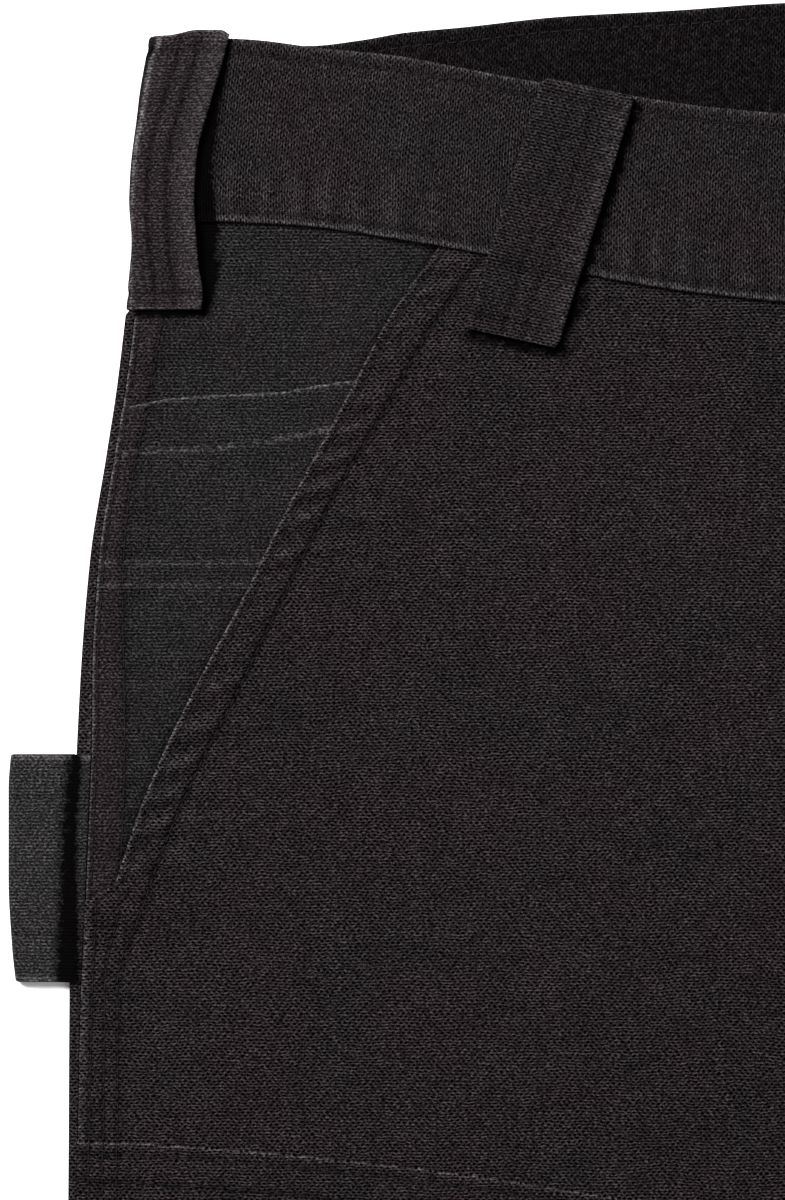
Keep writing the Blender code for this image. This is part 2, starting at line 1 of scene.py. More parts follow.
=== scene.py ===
"""Looks of the carpenter pants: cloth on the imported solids, seams, metal, light and camera.

Lengths are in millimetres, and place() turns them into metres. Three coordinates are used.
out    distance from the centre line towards the side seam
depth  distance down the garment from the waistband's top at the side seam
height distance above the floor
The wearer's right is at -X, the waist is at +Y and the front faces +Z.
"""

import functools
import math
from collections import namedtuple

import bpy
import numpy as np
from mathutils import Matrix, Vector


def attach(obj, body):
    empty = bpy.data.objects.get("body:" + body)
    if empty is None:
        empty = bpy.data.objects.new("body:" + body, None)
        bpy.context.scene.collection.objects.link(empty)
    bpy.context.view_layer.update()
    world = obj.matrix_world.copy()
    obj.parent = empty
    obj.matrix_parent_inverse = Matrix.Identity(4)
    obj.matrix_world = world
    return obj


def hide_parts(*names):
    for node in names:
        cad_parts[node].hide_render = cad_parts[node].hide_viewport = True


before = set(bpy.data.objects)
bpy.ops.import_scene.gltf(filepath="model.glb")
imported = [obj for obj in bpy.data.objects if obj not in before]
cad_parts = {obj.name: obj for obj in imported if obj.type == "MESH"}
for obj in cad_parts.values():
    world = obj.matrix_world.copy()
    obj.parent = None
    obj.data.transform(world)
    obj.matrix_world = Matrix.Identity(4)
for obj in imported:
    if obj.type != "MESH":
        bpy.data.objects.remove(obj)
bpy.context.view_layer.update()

MM = 0.001
RIGHT = -1
LEFT = 1
TURN = 2 * math.pi
# Distance that stands for a line that isn't there
FAR = 99.0

# The garment's sizes and forms, as its solids have them. Names that end in RAISE, LEVEL or
# HEIGHT are heights, and those in REACH, FADE or FALL are lengths over which a form fades.
LENGTH = 1120.0
BACK_RISE = 10.75
CROTCH_DEPTH = 313.0
MIDDLE_DEPTH = (LENGTH - BACK_RISE) / 2
GAP = 0.3
SEAM_GAP = 0.06
CLOTH = 1.1
LIP = 1.2
BAND = LIP + GAP + CLOTH
STRAP = 1.4
FELL = 0.6
FELL_WIDTH = 10.5
INNER_FELL = 8.0
LEG_HEM = 12.5
BAND_BACK = STRAP + GAP
FACING_TAIL = 217.0
BAND_FRONT = 7.9
BAND_RADIUS = (BAND_FRONT - BAND_BACK) / 2
PANEL_AT_BACK_BAND = BAND_BACK + LIP + GAP
PANEL_AT_FRONT_BAND = BAND_FRONT - BAND
FOLD_RADIUS = 1.6
FACING_HEIGHT = 1.6
FACING_SINK = 1.0
FRONT_HEIGHT = 3.1
SEAM_LEVEL = 2.2
POCKET_LEVEL = 4.8
INSEAM_LEVEL = CLOTH + GAP
SIDE_REACH = 45.0
FACING_REACH = 16.0
INSEAM_REACH = 18.0
CROTCH_FADE = 25.0
WAIST_FALL = 48.0
BAND_HEIGHT = 45.6
SEAM_ALLOWANCE = 9.0
BAND_OVERLAP = 14.0
BAND_LAP_RAISE = 3.0
BAND_LAP_START = 28.0
BAND_LAP_END = 48.0
FLY_LAP = 4.0
FLY_WIDTH = 38.0
FLY_FLAT = 26.0
FLY_RAISE = 1.8
FLY_RAISE_AT_BAND = 2.95
FLY_END = 236.0
FLY_FADE = 10.0
ZIP_TAPE = 23.4
ZIP_MIDDLE = 12.3
ZIP_THICKNESS = 1.1
POCKET_END = 211.5
POCKET_TURN = 4.5
FACING_UNDERLAP = 20.0
FACING_END = 213.0
COIN_UNDERLAP = 6.0
LOOP_WIDTH = 23.0
LOOP_BELOW_BAND = 22.0
LOOP_SLANT = 0.22
LIP_REACH = 2.5
LOOP_CLEAR = 69.0
LOOP_FADE = 4.0
LOOP_INSET = 0.8
BAND_CLEAR = 54.0
BAND_FADE = 7.0
HAMMER_TOP = 179.2
HAMMER_BOTTOM = 236.3
HAMMER_WALL = 1.2
HAMMER_RADIUS = 1.7
PATCH_START = 276.0
PATCH_BOTTOM = 850.0
PATCH_HEM = 10.0
PATCH_BEND_START = 240.0
PATCH_BEND_END = 440.0
BUTTON_DEPTH = 43.0

# Side of the garment: depth, out
OUTLINE = [
    (0, 222.0), (16, 224.7), (40, 227.0), (50, 226.4), (63, 227.4), (83, 229.7),
    (104, 232.9), (130, 237.0), (161, 239.5), (203, 241.3), (240, 242.2), (290, 242.5),
    (400, 244.5), (620, 252.0), (860, 260.5), (1120, 268.0),
]
# Inner edge of a leg: depth, out
INSEAM = [
    (313, 0.15), (325, 3.2), (345, 7.5), (380, 12.5), (500, 24.0), (700, 35.0),
    (900, 42.0), (1120, 46.0),
]
# How far the back panel comes round onto the front: depth, width
WRAP = [
    (46, 2.6), (110, 2.3), (150, 2.7), (180, 3.8), (215, 3.6), (240, 2.9), (290, 2.3), (1120, 2.6),
]
# Top edge of the front waistband: out, depth
FRONT_TOP = [
    (0, 23.2), (64, 19.0), (84, 17.2), (108, 13.6), (125, 11.2), (147, 7.1), (161, 4.5),
    (180, 2.5), (196, 0.5), (206, 0.0),
]
# Lower edge of the front waistband: out, depth
FRONT_LOW = [
    (0, 70.0), (64, 66.2), (89, 63.5), (113, 59.4), (138, 54.4), (159, 50.7), (184, 47.2),
    (206, 46.0),
]
# Top edge of the back waistband: out, depth
BACK_TOP = [
    (0, -BACK_RISE), (64, -9.1), (90, -7.3), (119, -5.7), (144, -3.0), (158, -1.7),
    (169, 0.2), (182, 1.6), (202, 1.2), (222, 0.0),
]
# Edge of the slash pocket: depth, out
SLASH = [
    (40, 141.5), (53, 150.0), (69, 161.4), (87, 171.1), (121, 189.2), (138, 197.5),
    (158, 208.2), (176, 217.2), (193, 224.3), (211.5, 230.5),
]
# Top edge of the knee patch: out, depth
PATCH_TOP = [(0, 319.0), (40, 305.5), (106, 290.0), (170, 281.0), (216, 277.0), (242, 276.0)]
# Underside of the front panel at its outer edge: depth, height
EDGE_LEVEL = [(60, POCKET_LEVEL), (216, POCKET_LEVEL), (228, SEAM_LEVEL), (1120, SEAM_LEVEL)]
# How far the pocket lifts the front: out, height
POCKET_BULK = [(20, 0.0), (60, 0.6), (118, CLOTH + GAP), (150, CLOTH + GAP), (168, 0.0)]
# Underside of the back panel: distance below the waistband, height
BACK_LEVEL = [(1, PANEL_AT_BACK_BAND), (8, 1.75), (26, 1.75), (46, 0.0)]
# Underside of the pocket facing: distance below the waistband, height
FACING_LEVEL = [
    (1, PANEL_AT_FRONT_BAND), (8, 4.4), (26, 3.4), (36, 2.3), (46, FACING_HEIGHT),
]
# Middle of the front belt loop's top and lower ends: out, depth, out, depth
FRONT_LOOP = (112.2, 12.6, 131.4, 75.2)
# How far the front belt loop stands off: share of its length, height
LOOP_STAND = [
    (0.0, 0.3), (0.06, 0.7), (0.3, 1.1), (0.55, 1.0), (0.7, 0.5), (0.76, 0.4), (0.86, 0.5),
    (0.93, 0.35), (1.0, 0.3),
]
# Side belt loop: depth, height of its front, out of its front edge
SIDE_LOOP = [
    (-1.0, 8.25, 201.6), (3.0, 8.5, 202.6), (9.0, 8.8, 204.2), (16.0, 8.9, 206.3),
    (31.0, 8.9, 210.0), (41.5, 8.4, 210.5), (47.5, 8.2, 210.2), (57.0, 6.8, 209.5),
    (64.0, 6.4, 208.5), (68.0, 6.2, 208.9),
]
# Inner border of the shade beside the side belt loop: depth, out
LOOP_SHADE = [
    (-1, 201.2), (1, 201.6), (9.6, 203.0), (22, 205.0), (35, 206.3), (48, 205.0), (57, 205.1),
    (64, 206.3), (69, 207.6),
]
# Line where the side belt loop starts to turn back, with a painted highlight along it: depth, out
SIDE_LOOP_TURN = [
    (-1, 218.8), (2.9, 219.9), (7.4, 221.6), (11.8, 222.4), (17.8, 223.4), (23.2, 224.4),
    (27.6, 225.2), (42, 226.1), (68, 226.6),
]
# Two borders of the valley where the hammer loop leaves the side fold, painted dark as shade: depth,
# out
HAMMER_VALLEY = (
    [(179, 238.4), (200, 239.8), (236, 239.2)],
    [(179, 243.6), (200, 245.2), (236, 246.8)],
)
# Outer edge of the hammer loop: share of its length, out
HAMMER_EDGE = [(0.0, 256.9), (0.15, 257.5), (0.55, 257.5), (0.85, 256.6), (1.0, 255.7)]
# Soft folds of each leg, from one end to the other
Fold = namedtuple("Fold", "out depth out_end depth_end half_width height")
FOLDS = {
    RIGHT: [
        Fold(10, 296, 118, 238, 27, 1.4),
        Fold(14, 326, 140, 352, 30, 1.6),
        Fold(48, 430, 190, 470, 36, 1.2),
        Fold(60, 655, 238, 606, 42, 1.7),
        Fold(70, 722, 205, 752, 38, 1.3),
        Fold(96, 915, 250, 868, 46, 1.4),
        Fold(66, 1012, 190, 1044, 40, 1.1),
    ],
    LEFT: [
        Fold(12, 300, 132, 252, 29, 1.5),
        Fold(16, 330, 128, 372, 31, 1.4),
        Fold(90, 405, 228, 442, 38, 1.1),
        Fold(56, 628, 214, 590, 40, 1.5),
        Fold(82, 700, 240, 716, 42, 1.6),
        Fold(70, 880, 214, 924, 44, 1.2),
        Fold(110, 1040, 240, 1006, 42, 1.2),
    ],
}

# Sewing, as it shows
STITCH = 2.9
STITCH_GAP = 0.7
THREAD_RADIUS = 0.2
FIRST_ROW = 2.3
SEAM_ROW = 2.9
SEAM_WIDTH = 9.9
INSEAM_ROWS = (1.8, 6.6)
HEM_ROW = LENGTH - LEG_HEM + 1.2
PATCH_ROWS = (3.0, 9.8)
FACING_ROW = 1.3
STRIP_ROW = 0.4
STRAP_ROW = 2.6
SIDE_LOOP_ROWS = (7.0, 11.7)
HAMMER_ROWS = (10.6, 11.8)
COIN_LOW_ROWS = (131.0, 137.0)
SLASH_PUCKER = 9.4
BAND_PUCKER = 8.2
# Second row of stitches along the slash pocket and down the side seam: depth, out
SECOND_ROW = [
    (37, 125.5), (54.5, 138.9), (67.75, 148.2), (81.25, 156.6), (92.75, 162.9), (111.5, 174.0),
    (152.5, 194.6), (165.5, 200.8), (176.5, 206.6), (186.5, 211.4), (196.75, 216.0),
    (209.75, 221.0), (221.5, 225.0), (226, 227.2), (230, 228.8), (236, 230.0), (273, 229.9),
]
# Inner border of the felled strip on the pocket facing: depth, out
FACING_STRIP = [
    (46, 214.0), (80, 220.0), (92, 222.0), (108.5, 225.5), (118.75, 227.1), (138.75, 228.3),
    (175.75, 227.8), (213, 229.0),
]
# Top edge of the small pocket: out, depth
COIN_EDGE = [
    (170, 85.4), (180, 86.8), (190, 88.5), (206, 89.2), (218, 90.2), (224, 91.5), (231, 92.6),
]
# Upper row of stitches of the small pocket: out, depth
COIN_ROW = [(176, 97.2), (181, 98.3), (195, 100.8), (208, 102.2), (220, 102.7), (231, 104.0)]
COIN_END = 138.0
COIN_HEM = 12.4
BAND_ROW_TOP = 3.75
BAND_ROW_LOW = 2.6
# Stretch of the waistband's lower row that the side belt loop shades
SHADED_BAND = (203.5, 212.0)

# Places of a mesh's points: in from a rounded edge, from a piece's first edge and before its
# last one with the spacing from there on, round a row of stitches, and in from the inseam
EDGE_STOPS = np.array([0.0, 0.05, 0.2, 0.45, 0.8])
FIRST_ROWS = [(0.0, 0.06), (0.06, 0.14), (0.2, 0.25), (0.45, 0.35)]
LAST_ROWS = [(-0.8, 0.35), (-0.45, 0.25), (-0.2, 0.15), (-0.05, 0.05), (0.0, 0.0)]
AROUND_ROW = np.array([0.9, 0.45, 0.0, -0.45, -0.9])
INNER_STOPS = (11, 9.4, 8.8, 8.2, 7.6, 7.1, 6.6, 6.1, 5.3, 4.2, 3.2, 2.5, 2.1, 1.8, 1.4, 1.1)
# Points across the open middle of a front panel, and from the side seam over the felled strip
MIDDLE_COUNT = 46
STRIP_COLUMNS = 18
UP = np.array([0.0, 0.0, 1.0])


def clip(value):
    """A value kept within 0 and 1."""
    return np.clip(value, 0.0, 1.0)


def ease(value):
    """Soft step from 0 to 1."""
    value = clip(value)
    return value * value * (3 - 2 * value)


def largest(*values):
    """The largest of several grids, point by point."""
    return functools.reduce(np.maximum, values)


def mix(start, end, share):
    return start + (end - start) * share


def bell(distance, width):
    """1 on a line and 0 away from it."""
    return np.exp(-((distance / width) ** 2))


def worn(distance, width, inset=0.1):
    """Wear at an edge, full as far as the inset."""
    return bell(np.maximum(distance - inset, 0), width)


def curve(table, at):
    """Smooth values of a two-column table, level past its ends."""
    places, values = np.array(table, float).T
    rises = np.diff(values) / np.diff(places)
    before, after = rises[:-1], rises[1:]
    agree = before * after > 0
    inner = np.where(agree, 2 * before * after / np.where(agree, before + after, 1), 0)
    slopes = np.concatenate([rises[:1], inner, rises[-1:]])
    at = np.clip(at, places[0], places[-1])
    i = np.clip(np.searchsorted(places, at) - 1, 0, len(rises) - 1)
    span = places[i + 1] - places[i]
    t = (at - places[i]) / span
    bend = (1 - t) * slopes[i] - t * slopes[i + 1]
    straight = mix(values[i], values[i + 1], t)
    return straight + span * t * (1 - t) * (bend - (1 - 2 * t) * rises[i])


def place(side, out, depth, height):
    """World points, in metres."""
    out, depth, height = np.broadcast_arrays(out, depth, height)
    return np.stack([side * out * MM, (MIDDLE_DEPTH - depth) * MM, height * MM], axis=-1)


def waves(x, y, size, seed):
    """Soft uneven relief, mostly within 1 and -1."""
    random = np.random.default_rng(seed)
    total = 0.0
    for _ in range(9):
        angle, phase = random.uniform(0, TURN, 2)
        length = size * random.uniform(0.7, 1.7)
        total = total + np.sin(TURN * (x * math.cos(angle) + y * math.sin(angle)) / length + phase)
    return total / 4.5


def puckers(along, pitch, seed):
    """Uneven small waves along a seam."""
    drift = 0.9 * np.sin(along / 17.0 + seed) + 0.7 * np.sin(along / 7.3 + 2.1 * seed)
    swell = 0.72 + 0.28 * np.sin(along / 13.0 + 1.7 * seed)
    return swell * np.sin(TURN * along / pitch + drift)


def front_low(out):
    """Depth of the front waistband's lower edge."""
    return curve(FRONT_LOW, out)


def back_low(out):
    """Depth at which the back panel comes out from the waistband."""
    return curve(BACK_TOP, out) + BAND_HEIGHT + GAP


def body_out(depth):
    """Side of the waistband and of the panels, inside the side belt loop."""
    return curve(OUTLINE, depth) - (STRAP + GAP) * ease((LOOP_CLEAR - depth) / LOOP_FADE)


def fold_out(depth):
    """Side fold of the back panel."""
    in_loop = LOOP_INSET * ease((LOOP_CLEAR - depth) / LOOP_FADE)
    in_band = (LIP + GAP - LOOP_INSET) * ease((BAND_CLEAR - depth) / BAND_FADE)
    return body_out(depth) - in_loop - in_band


def seam_out(depth):
    """Edge of the back panel where it has come round onto the front."""
    return fold_out(depth) - curve(WRAP, depth)


def fold_base(depth):
    """Underside of the back panel at its side fold."""
    return curve(BACK_LEVEL, depth - BAND_HEIGHT - GAP)


def inner_out(depth):
    """Inner edge of a panel: the centre seam, then the inseam."""
    return curve(INSEAM, depth)


def front_outer(depth):
    """Outer edge of the front panel: the slash pocket, then the side seam."""
    turned = clip((depth - POCKET_END) / POCKET_TURN)
    return mix(curve(SLASH, depth), seam_out(depth) - SEAM_GAP, turned)


def front_inner(side, depth):
    """Inner edge of the front panel, with the left one lapped over at the fly."""
    lapped = (side == LEFT) & (depth < FLY_END)
    return np.where(lapped, -FLY_LAP, inner_out(depth))


def ridge(fold, out, depth):
    """Height of one soft fold."""
    along_x, along_y = fold.out_end - fold.out, fold.depth_end - fold.depth
    length = math.hypot(along_x, along_y)
    t = clip(((out - fold.out) * along_x + (depth - fold.depth) * along_y) / length ** 2)
    reach = mix(1.0, 0.55, t)
    away = np.hypot(out - fold.out - t * along_x, depth - fold.depth - t * along_y)
    return fold.height * (1 - clip(away / (fold.half_width * reach)) ** 2) ** 2


def fly_raise(side, out, depth):
    """How far the left front stands up over the zip."""
    if side == RIGHT:
        return 0.0
    below = depth - front_low(out)
    height = mix(FLY_RAISE, FLY_RAISE_AT_BAND, ease((20 - below) / 14))
    across = ease((FLY_WIDTH - out) / (FLY_WIDTH - FLY_FLAT))
    return height * across * ease((FLY_END + FLY_FADE - depth) / FLY_FADE + 0.2)


def front_under(side, out, depth):
    """Underside of the front panel."""
    near_side = ease(1 - (front_outer(depth) - out) / SIDE_REACH)
    height = mix(FRONT_HEIGHT, curve(EDGE_LEVEL, depth), near_side)
    near_inseam = ease(1 - (out - inner_out(depth)) / INSEAM_REACH)
    in_leg = ease(1 + (depth - CROTCH_DEPTH) / CROTCH_FADE)
    height = height - near_inseam * in_leg * (FRONT_HEIGHT - INSEAM_LEVEL)
    height = height + sum(ridge(fold, out, depth) for fold in FOLDS[side]) * (1 - near_inseam)
    at_band = PANEL_AT_FRONT_BAND + curve(POCKET_BULK, out)
    waist = ease(1 - (depth - front_low(out) - 1) / WAIST_FALL)
    height = mix(height, at_band, waist) + fly_raise(side, out, depth)
    loose = ease((front_outer(depth) - out) / 30) * ease((out - inner_out(depth)) / 24)
    loose = loose * ease((depth - front_low(out)) / 40)
    uneven = 0.34 * waves(out, depth, 74, 11 + side) + 0.10 * waves(out, depth, 27, 21 + side)
    return height + loose * uneven


def patch_share(depth):
    """How much a row bends with the knee patch's top edge."""
    above = clip((depth - PATCH_BEND_START) / (PATCH_START - 1 - PATCH_BEND_START))
    below = clip((PATCH_BEND_END - depth) / (PATCH_BEND_END - CROTCH_DEPTH + 8))
    return np.where(depth < PATCH_START, above, below)


def second_row(depth):
    """Place of the inner row of stitches along the slash pocket and the side seam."""
    return np.where(depth < 273, curve(SECOND_ROW, depth), front_outer(depth) - SEAM_WIDTH)


def first_row(depth):
    """Place of the outer row of stitches."""
    inset = mix(FIRST_ROW, SEAM_ROW, clip((depth - POCKET_END) / POCKET_TURN))
    return front_outer(depth) - inset


RUN_DEPTHS = np.linspace(30, LENGTH, 1200)
RUN_LENGTHS = np.concatenate([[0.0], np.cumsum(np.hypot(
    np.diff(RUN_DEPTHS), np.diff(np.where(RUN_DEPTHS < POCKET_END, curve(SLASH, RUN_DEPTHS),
                                          curve(SLASH, POCKET_END)))))])


def seam_run(depth):
    """Distance along the slash pocket and the side seam."""
    return np.interp(depth, RUN_DEPTHS, RUN_LENGTHS)


def far(distance, reached):
    """A distance, or a long way where the line isn't there."""
    return np.where(reached, np.abs(distance), FAR)


def loop_shade(out, depth):
    """Deep shade beside the side belt loop and along two sides of the front one."""
    beside = ease((out - curve(LOOP_SHADE, depth)) / 1.7 + 0.55) * ease((70.0 - depth) / 1.2)
    top_out, top_depth, low_out, low_depth = FRONT_LOOP
    run = np.array([low_out - top_out, low_depth - top_depth])
    length = math.hypot(*run)
    from_top_out, from_top_depth = out - top_out, depth - top_depth
    share = (from_top_depth + LOOP_SLANT * from_top_out) / (run[1] + LOOP_SLANT * run[0])
    inward = top_out + run[0] * share - LOOP_WIDTH / 2 - out
    sideways = ease((3.4 - inward) / 1.7) * (inward > -2) * ease((share + 0.005) / 0.05)
    sideways = sideways * ease((1.035 - share) / 0.02)
    below = (share - 1) * length
    under = ease((3.3 - below) / 1.9) * (below > -2) * ease((3.2 - inward) / 1.6)
    under = under * ease((LOOP_WIDTH + inward - 0.6) / 1.4)
    return 1.5 * np.maximum(beside, 0.75 * np.maximum(sideways, under))


def front_surface(side, out, depth):
    """Underside and top of a front panel, with the fields that its material reads: wear and painted
    highlight, distance away from the nearest row of stitches, distance along that row, and painted
    shade."""
    under = front_under(side, out, depth)
    from_side = front_outer(depth) - out
    from_inside = out - inner_out(depth)
    first, second = first_row(depth), second_row(depth)
    middle = mix(first, second, 0.5)
    below_band = depth - front_low(out)
    felled_from = FLY_END if side == LEFT else CROTCH_DEPTH - 12
    in_seam = depth > POCKET_END + 1
    side_hem = ease((out - second + 1.5) / 1.3) * (below_band > 0.5)
    inner_hem = ease((INNER_FELL + 0.6 - from_inside) / 1.2) * (depth > felled_from)
    leg_hem = ease((depth - (LENGTH - LEG_HEM)) / 1.2)
    thickness = CLOTH + FELL * np.maximum(np.maximum(side_hem, inner_hem), leg_hem)
    rows = np.stack([
        far(out - first, below_band > 0), far(out - second, below_band > 0),
        far(out - middle, in_seam),
        *(far(from_inside - inset, depth > felled_from) for inset in INSEAM_ROWS),
        np.abs(depth - HEM_ROW),
    ])
    away = rows.min(axis=0)
    level = rows.argmin(axis=0) == len(rows) - 1
    run = seam_run(depth)
    along = np.where(level, out, run)
    across = clip(from_side / np.maximum(front_outer(depth) - second, 1))
    swelling = np.sin(math.pi * clip(across * 0.8 + 0.12)) * (from_side < 22)
    in_slash = ease((218 - depth) / 8)
    slack = puckers(run + 3.5 * across, SLASH_PUCKER, 1.3 + side)
    wavy = in_slash * 0.66 * slack
    wavy = wavy + (1 - in_slash) * 0.16 * puckers(run, 6.4, 2.0 + side)
    wavy = wavy * swelling * ease(below_band / 6)
    wavy = wavy + 0.10 * puckers(run, 7.1, 4.0 + side) * bell(from_inside - 4, 5) * inner_hem
    inner_row = far(out - second, below_band > 0)
    top = under + thickness + wavy - 0.26 * bell(away, 0.75)
    top = top - in_slash * (0.42 * bell(inner_row, 1.0) - 0.12 * bell(from_side - 4, 3))
    slash_wear = 0.85 * worn(from_side, 0.46, 0.15) * (1 - 0.55 * ease((depth - 205) / 10))
    slash_wear = slash_wear * (1 - 0.8 * bell(depth - 213.5, 3.2))
    slash_wear = slash_wear * mix(0.35, 0.8, ease((depth - 55) / 50))
    # Lighter band along the ridge beside the side seam, below the pocket
    seam_ridge_lighter = 0.26 * bell(from_side - 0.9, 0.9) * (1 - in_slash)
    # Painted highlight on the crests of the slash pocket's puckers
    crest_highlight = 0.20 * in_slash * ease(slack - 0.1) * swelling
    wear_and_highlight = largest(slash_wear, seam_ridge_lighter, crest_highlight, 0.8 * bell(LENGTH - depth, 0.5))
    row_shade = 0.85 * in_slash * bell(inner_row, 0.55) + 0.38 * (1 - in_slash) * bell(away, 0.6)
    slack_shade = 0.30 * in_slash * ease(-slack - 0.1) * swelling
    # Painted shade along the inner row of stitches, in the slash pocket's pucker troughs and beside
    # the belt loops
    painted_shade = largest(row_shade, slack_shade, loop_shade(out, depth))
    return under, top, {"wear_and_highlight": wear_and_highlight, "away": away, "along": along, "painted_shade": painted_shade}


def hat(distance, radius):
    """Share of a wall's half thickness near its rounded edge."""
    return np.sqrt(np.maximum(1 - (1 - np.minimum(distance / radius, 1)) ** 2, 0))


def rounded(under, top, distance):
    """Brings the two faces of a wall together at its edges."""
    middle, half = (under + top) / 2, (top - under) / 2
    share = hat(distance, 0.62)
    return middle - half * share, middle + half * share


def shown(name, mesh, material):
    """An object in the scene that shows a mesh, smooth and with its material."""
    mesh.shade_smooth()
    mesh.materials.append(material)
    piece = bpy.data.objects.new(name, mesh)
    bpy.context.scene.collection.objects.link(piece)
    return piece


def object_from(name, points, quads, material, uv=None, fields=None):
    """A mesh object from points in metres and faces of four points, with its normals outward."""
    corners = points[quads]
    turned = np.cross(corners[:, 1] - corners[:, 0], corners[:, 2] - corners[:, 0])
    turned = turned + np.cross(corners[:, 2] - corners[:, 0], corners[:, 3] - corners[:, 0])
    if (turned * (corners.mean(axis=1) - points.mean(axis=0))).sum() < 0:
        quads = quads[:, ::-1]
    mesh = bpy.data.meshes.new(name)
    mesh.vertices.add(len(points))
    mesh.vertices.foreach_set("co", points.astype(np.float32).ravel())
    mesh.loops.add(quads.size)
    mesh.loops.foreach_set("vertex_index", quads.astype(np.int32).ravel())
    mesh.polygons.add(len(quads))
    mesh.polygons.foreach_set("loop_start", np.arange(0, quads.size, 4, dtype=np.int32))
    mesh.update(calc_edges=True)
    if uv is not None:
        layer = mesh.uv_layers.new(name="UVMap")
        layer.data.foreach_set("uv", uv[quads.ravel()].astype(np.float32).ravel())
    for key, values in (fields or {}).items():
        attribute = mesh.attributes.new(key, "FLOAT", "POINT")
        attribute.data.foreach_set("value", values.astype(np.float32).ravel())
    return shown(name, mesh, material)


def net(index):
    """Faces of a grid of point numbers."""
    corners = (index[:-1, :-1], index[:-1, 1:], index[1:, 1:], index[1:, :-1])
    return np.stack(corners, axis=-1).reshape(-1, 4)


def shell(name, top, under, uv, fields, material):
    """A closed wall between two grids of points that meet at their border."""
    rows, columns = top.shape[:2]
    upper = np.arange(rows * columns).reshape(rows, columns)
    lower = upper.copy()
    hidden = (rows - 2) * (columns - 2)
    lower[1:-1, 1:-1] = rows * columns + np.arange(hidden).reshape(rows - 2, columns - 2)
    within = (slice(1, -1), slice(1, -1))

    def both(grid):
        grid = np.broadcast_to(grid, (rows, columns) + grid.shape[2:])
        flat = grid.reshape(rows * columns, -1)
        return np.concatenate([flat, grid[within].reshape(hidden, -1)])

    points = np.concatenate([top.reshape(-1, 3), under[within].reshape(-1, 3)])
    quads = np.concatenate([net(upper), net(lower)[:, ::-1]])
    fields = {key: both(values) for key, values in fields.items()}
    return object_from(name, points, quads, material, both(uv), fields)


def sew_on(piece, slot_name, *nodes):
    """Attaches a piece to the garment's root body, and hides the solids that it stands for."""
    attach(piece, "root")
    if nodes:
        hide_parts(*nodes)
    return piece


def wrapped_faces(side, depth, outer, inner, borders, radius):
    """Points of both faces of a folded wall, each given by its places and heights, which come
    together at the wall's borders."""
    middle = [(a + b) / 2 for a, b in zip(outer, inner)]
    share = hat(borders, radius)
    return [place(side, mix(middle[0], out, share), depth, mix(middle[1], height, share))
            for out, height in (outer, inner)]


def length_round(out, height):
    """Distance along each row of points round a folded wall."""
    lengths = np.hypot(np.diff(out, axis=1), np.diff(height, axis=1))
    return np.cumsum(np.concatenate([0 * lengths[:, :1], lengths], axis=1), axis=1)


class Value:
    """A node's output in a shader, with arithmetic that adds Math nodes."""

    def __init__(self, socket):
        self.socket = socket
        self.tree = socket.id_data

    def calc(self, operation, *others):
        return add(self.tree, "Math", dict(enumerate((self, *others))), operation=operation)

    def __add__(self, other):
        return self.calc("ADD", other)

    def __sub__(self, other):
        return self.calc("SUBTRACT", other)

    def __rsub__(self, other):
        return add(self.tree, "Math", {0: other, 1: self}, operation="SUBTRACT")

    def __mul__(self, other):
        return self.calc("MULTIPLY", other)

    def __truediv__(self, other):
        return self.calc("DIVIDE", other)


def add(tree, kind, values, output=0, **settings):
    """Adds a shader node with its settings and inputs, and gives one of its outputs."""
    node = tree.nodes.new("ShaderNode" + kind)
    for key, value in settings.items():
        setattr(node, key, value)
    for key, value in values.items():
        if isinstance(value, Value):
            tree.links.new(value.socket, node.inputs[key])
        else:
            node.inputs[key].default_value = value
    return Value(node.outputs[output])


def new_material(name, **constants):
    """A material with its node tree and its shader, on which the constants are set."""
    material = bpy.data.materials.new(name)
    material.use_nodes = True
    shader = material.node_tree.nodes["Principled BSDF"]
    for key, value in constants.items():
        shader.inputs[key.replace("_", " ")].default_value = value
    return material, material.node_tree, shader


def wire(value, shader, name):
    """Links a value to one of the shader's inputs."""
    value.tree.links.new(value.socket, shader.inputs[name])


def step(value, start, end, low=0.0, high=1.0):
    """Soft step of a value in a shader."""
    ends = {0: value, 1: start, 2: end, 3: low, 4: high}
    return add(value.tree, "MapRange", ends, interpolation_type="SMOOTHSTEP")


def noise(where, size, detail=2.0, output=0):
    """Noise of a given size, in the units of its place: a value, or a colour as output 1."""
    values = {"Vector": where, "Scale": 1 / size, "Detail": detail, "Roughness": 0.55}
    return add(where.tree, "TexNoise", values, output=output)


def blend(share, first, second, clamped=True):
    """Mix of two colours in a shader."""
    return add(share.tree, "Mix", {0: share, 6: first, 7: second}, output=2, data_type="RGBA",
               clamp_factor=clamped)


def scaled(vector, factor):
    """A vector times a number in a shader."""
    return add(vector.tree, "VectorMath", {0: vector, 3: factor}, operation="SCALE")


def attribute(tree, name):
    """One of the fields stored on a mesh's points. It reads 0 where the mesh has none."""
    return add(tree, "Attribute", {}, output=2, attribute_name=name)


BROWN = (0.0270, 0.0205, 0.0226)
ASH = (0.0215, 0.0212, 0.0213)
PIT = (0.0012, 0.0010, 0.0011)
# Pale yarn for real wear at edges, and for painted highlights on pucker crests and where the side
# belt loop turns
WEAR_AND_HIGHLIGHT_YARN = (0.125, 0.115, 0.12, 1)
DEEP_SHADE = (0.0010, 0.0008, 0.0008, 1)


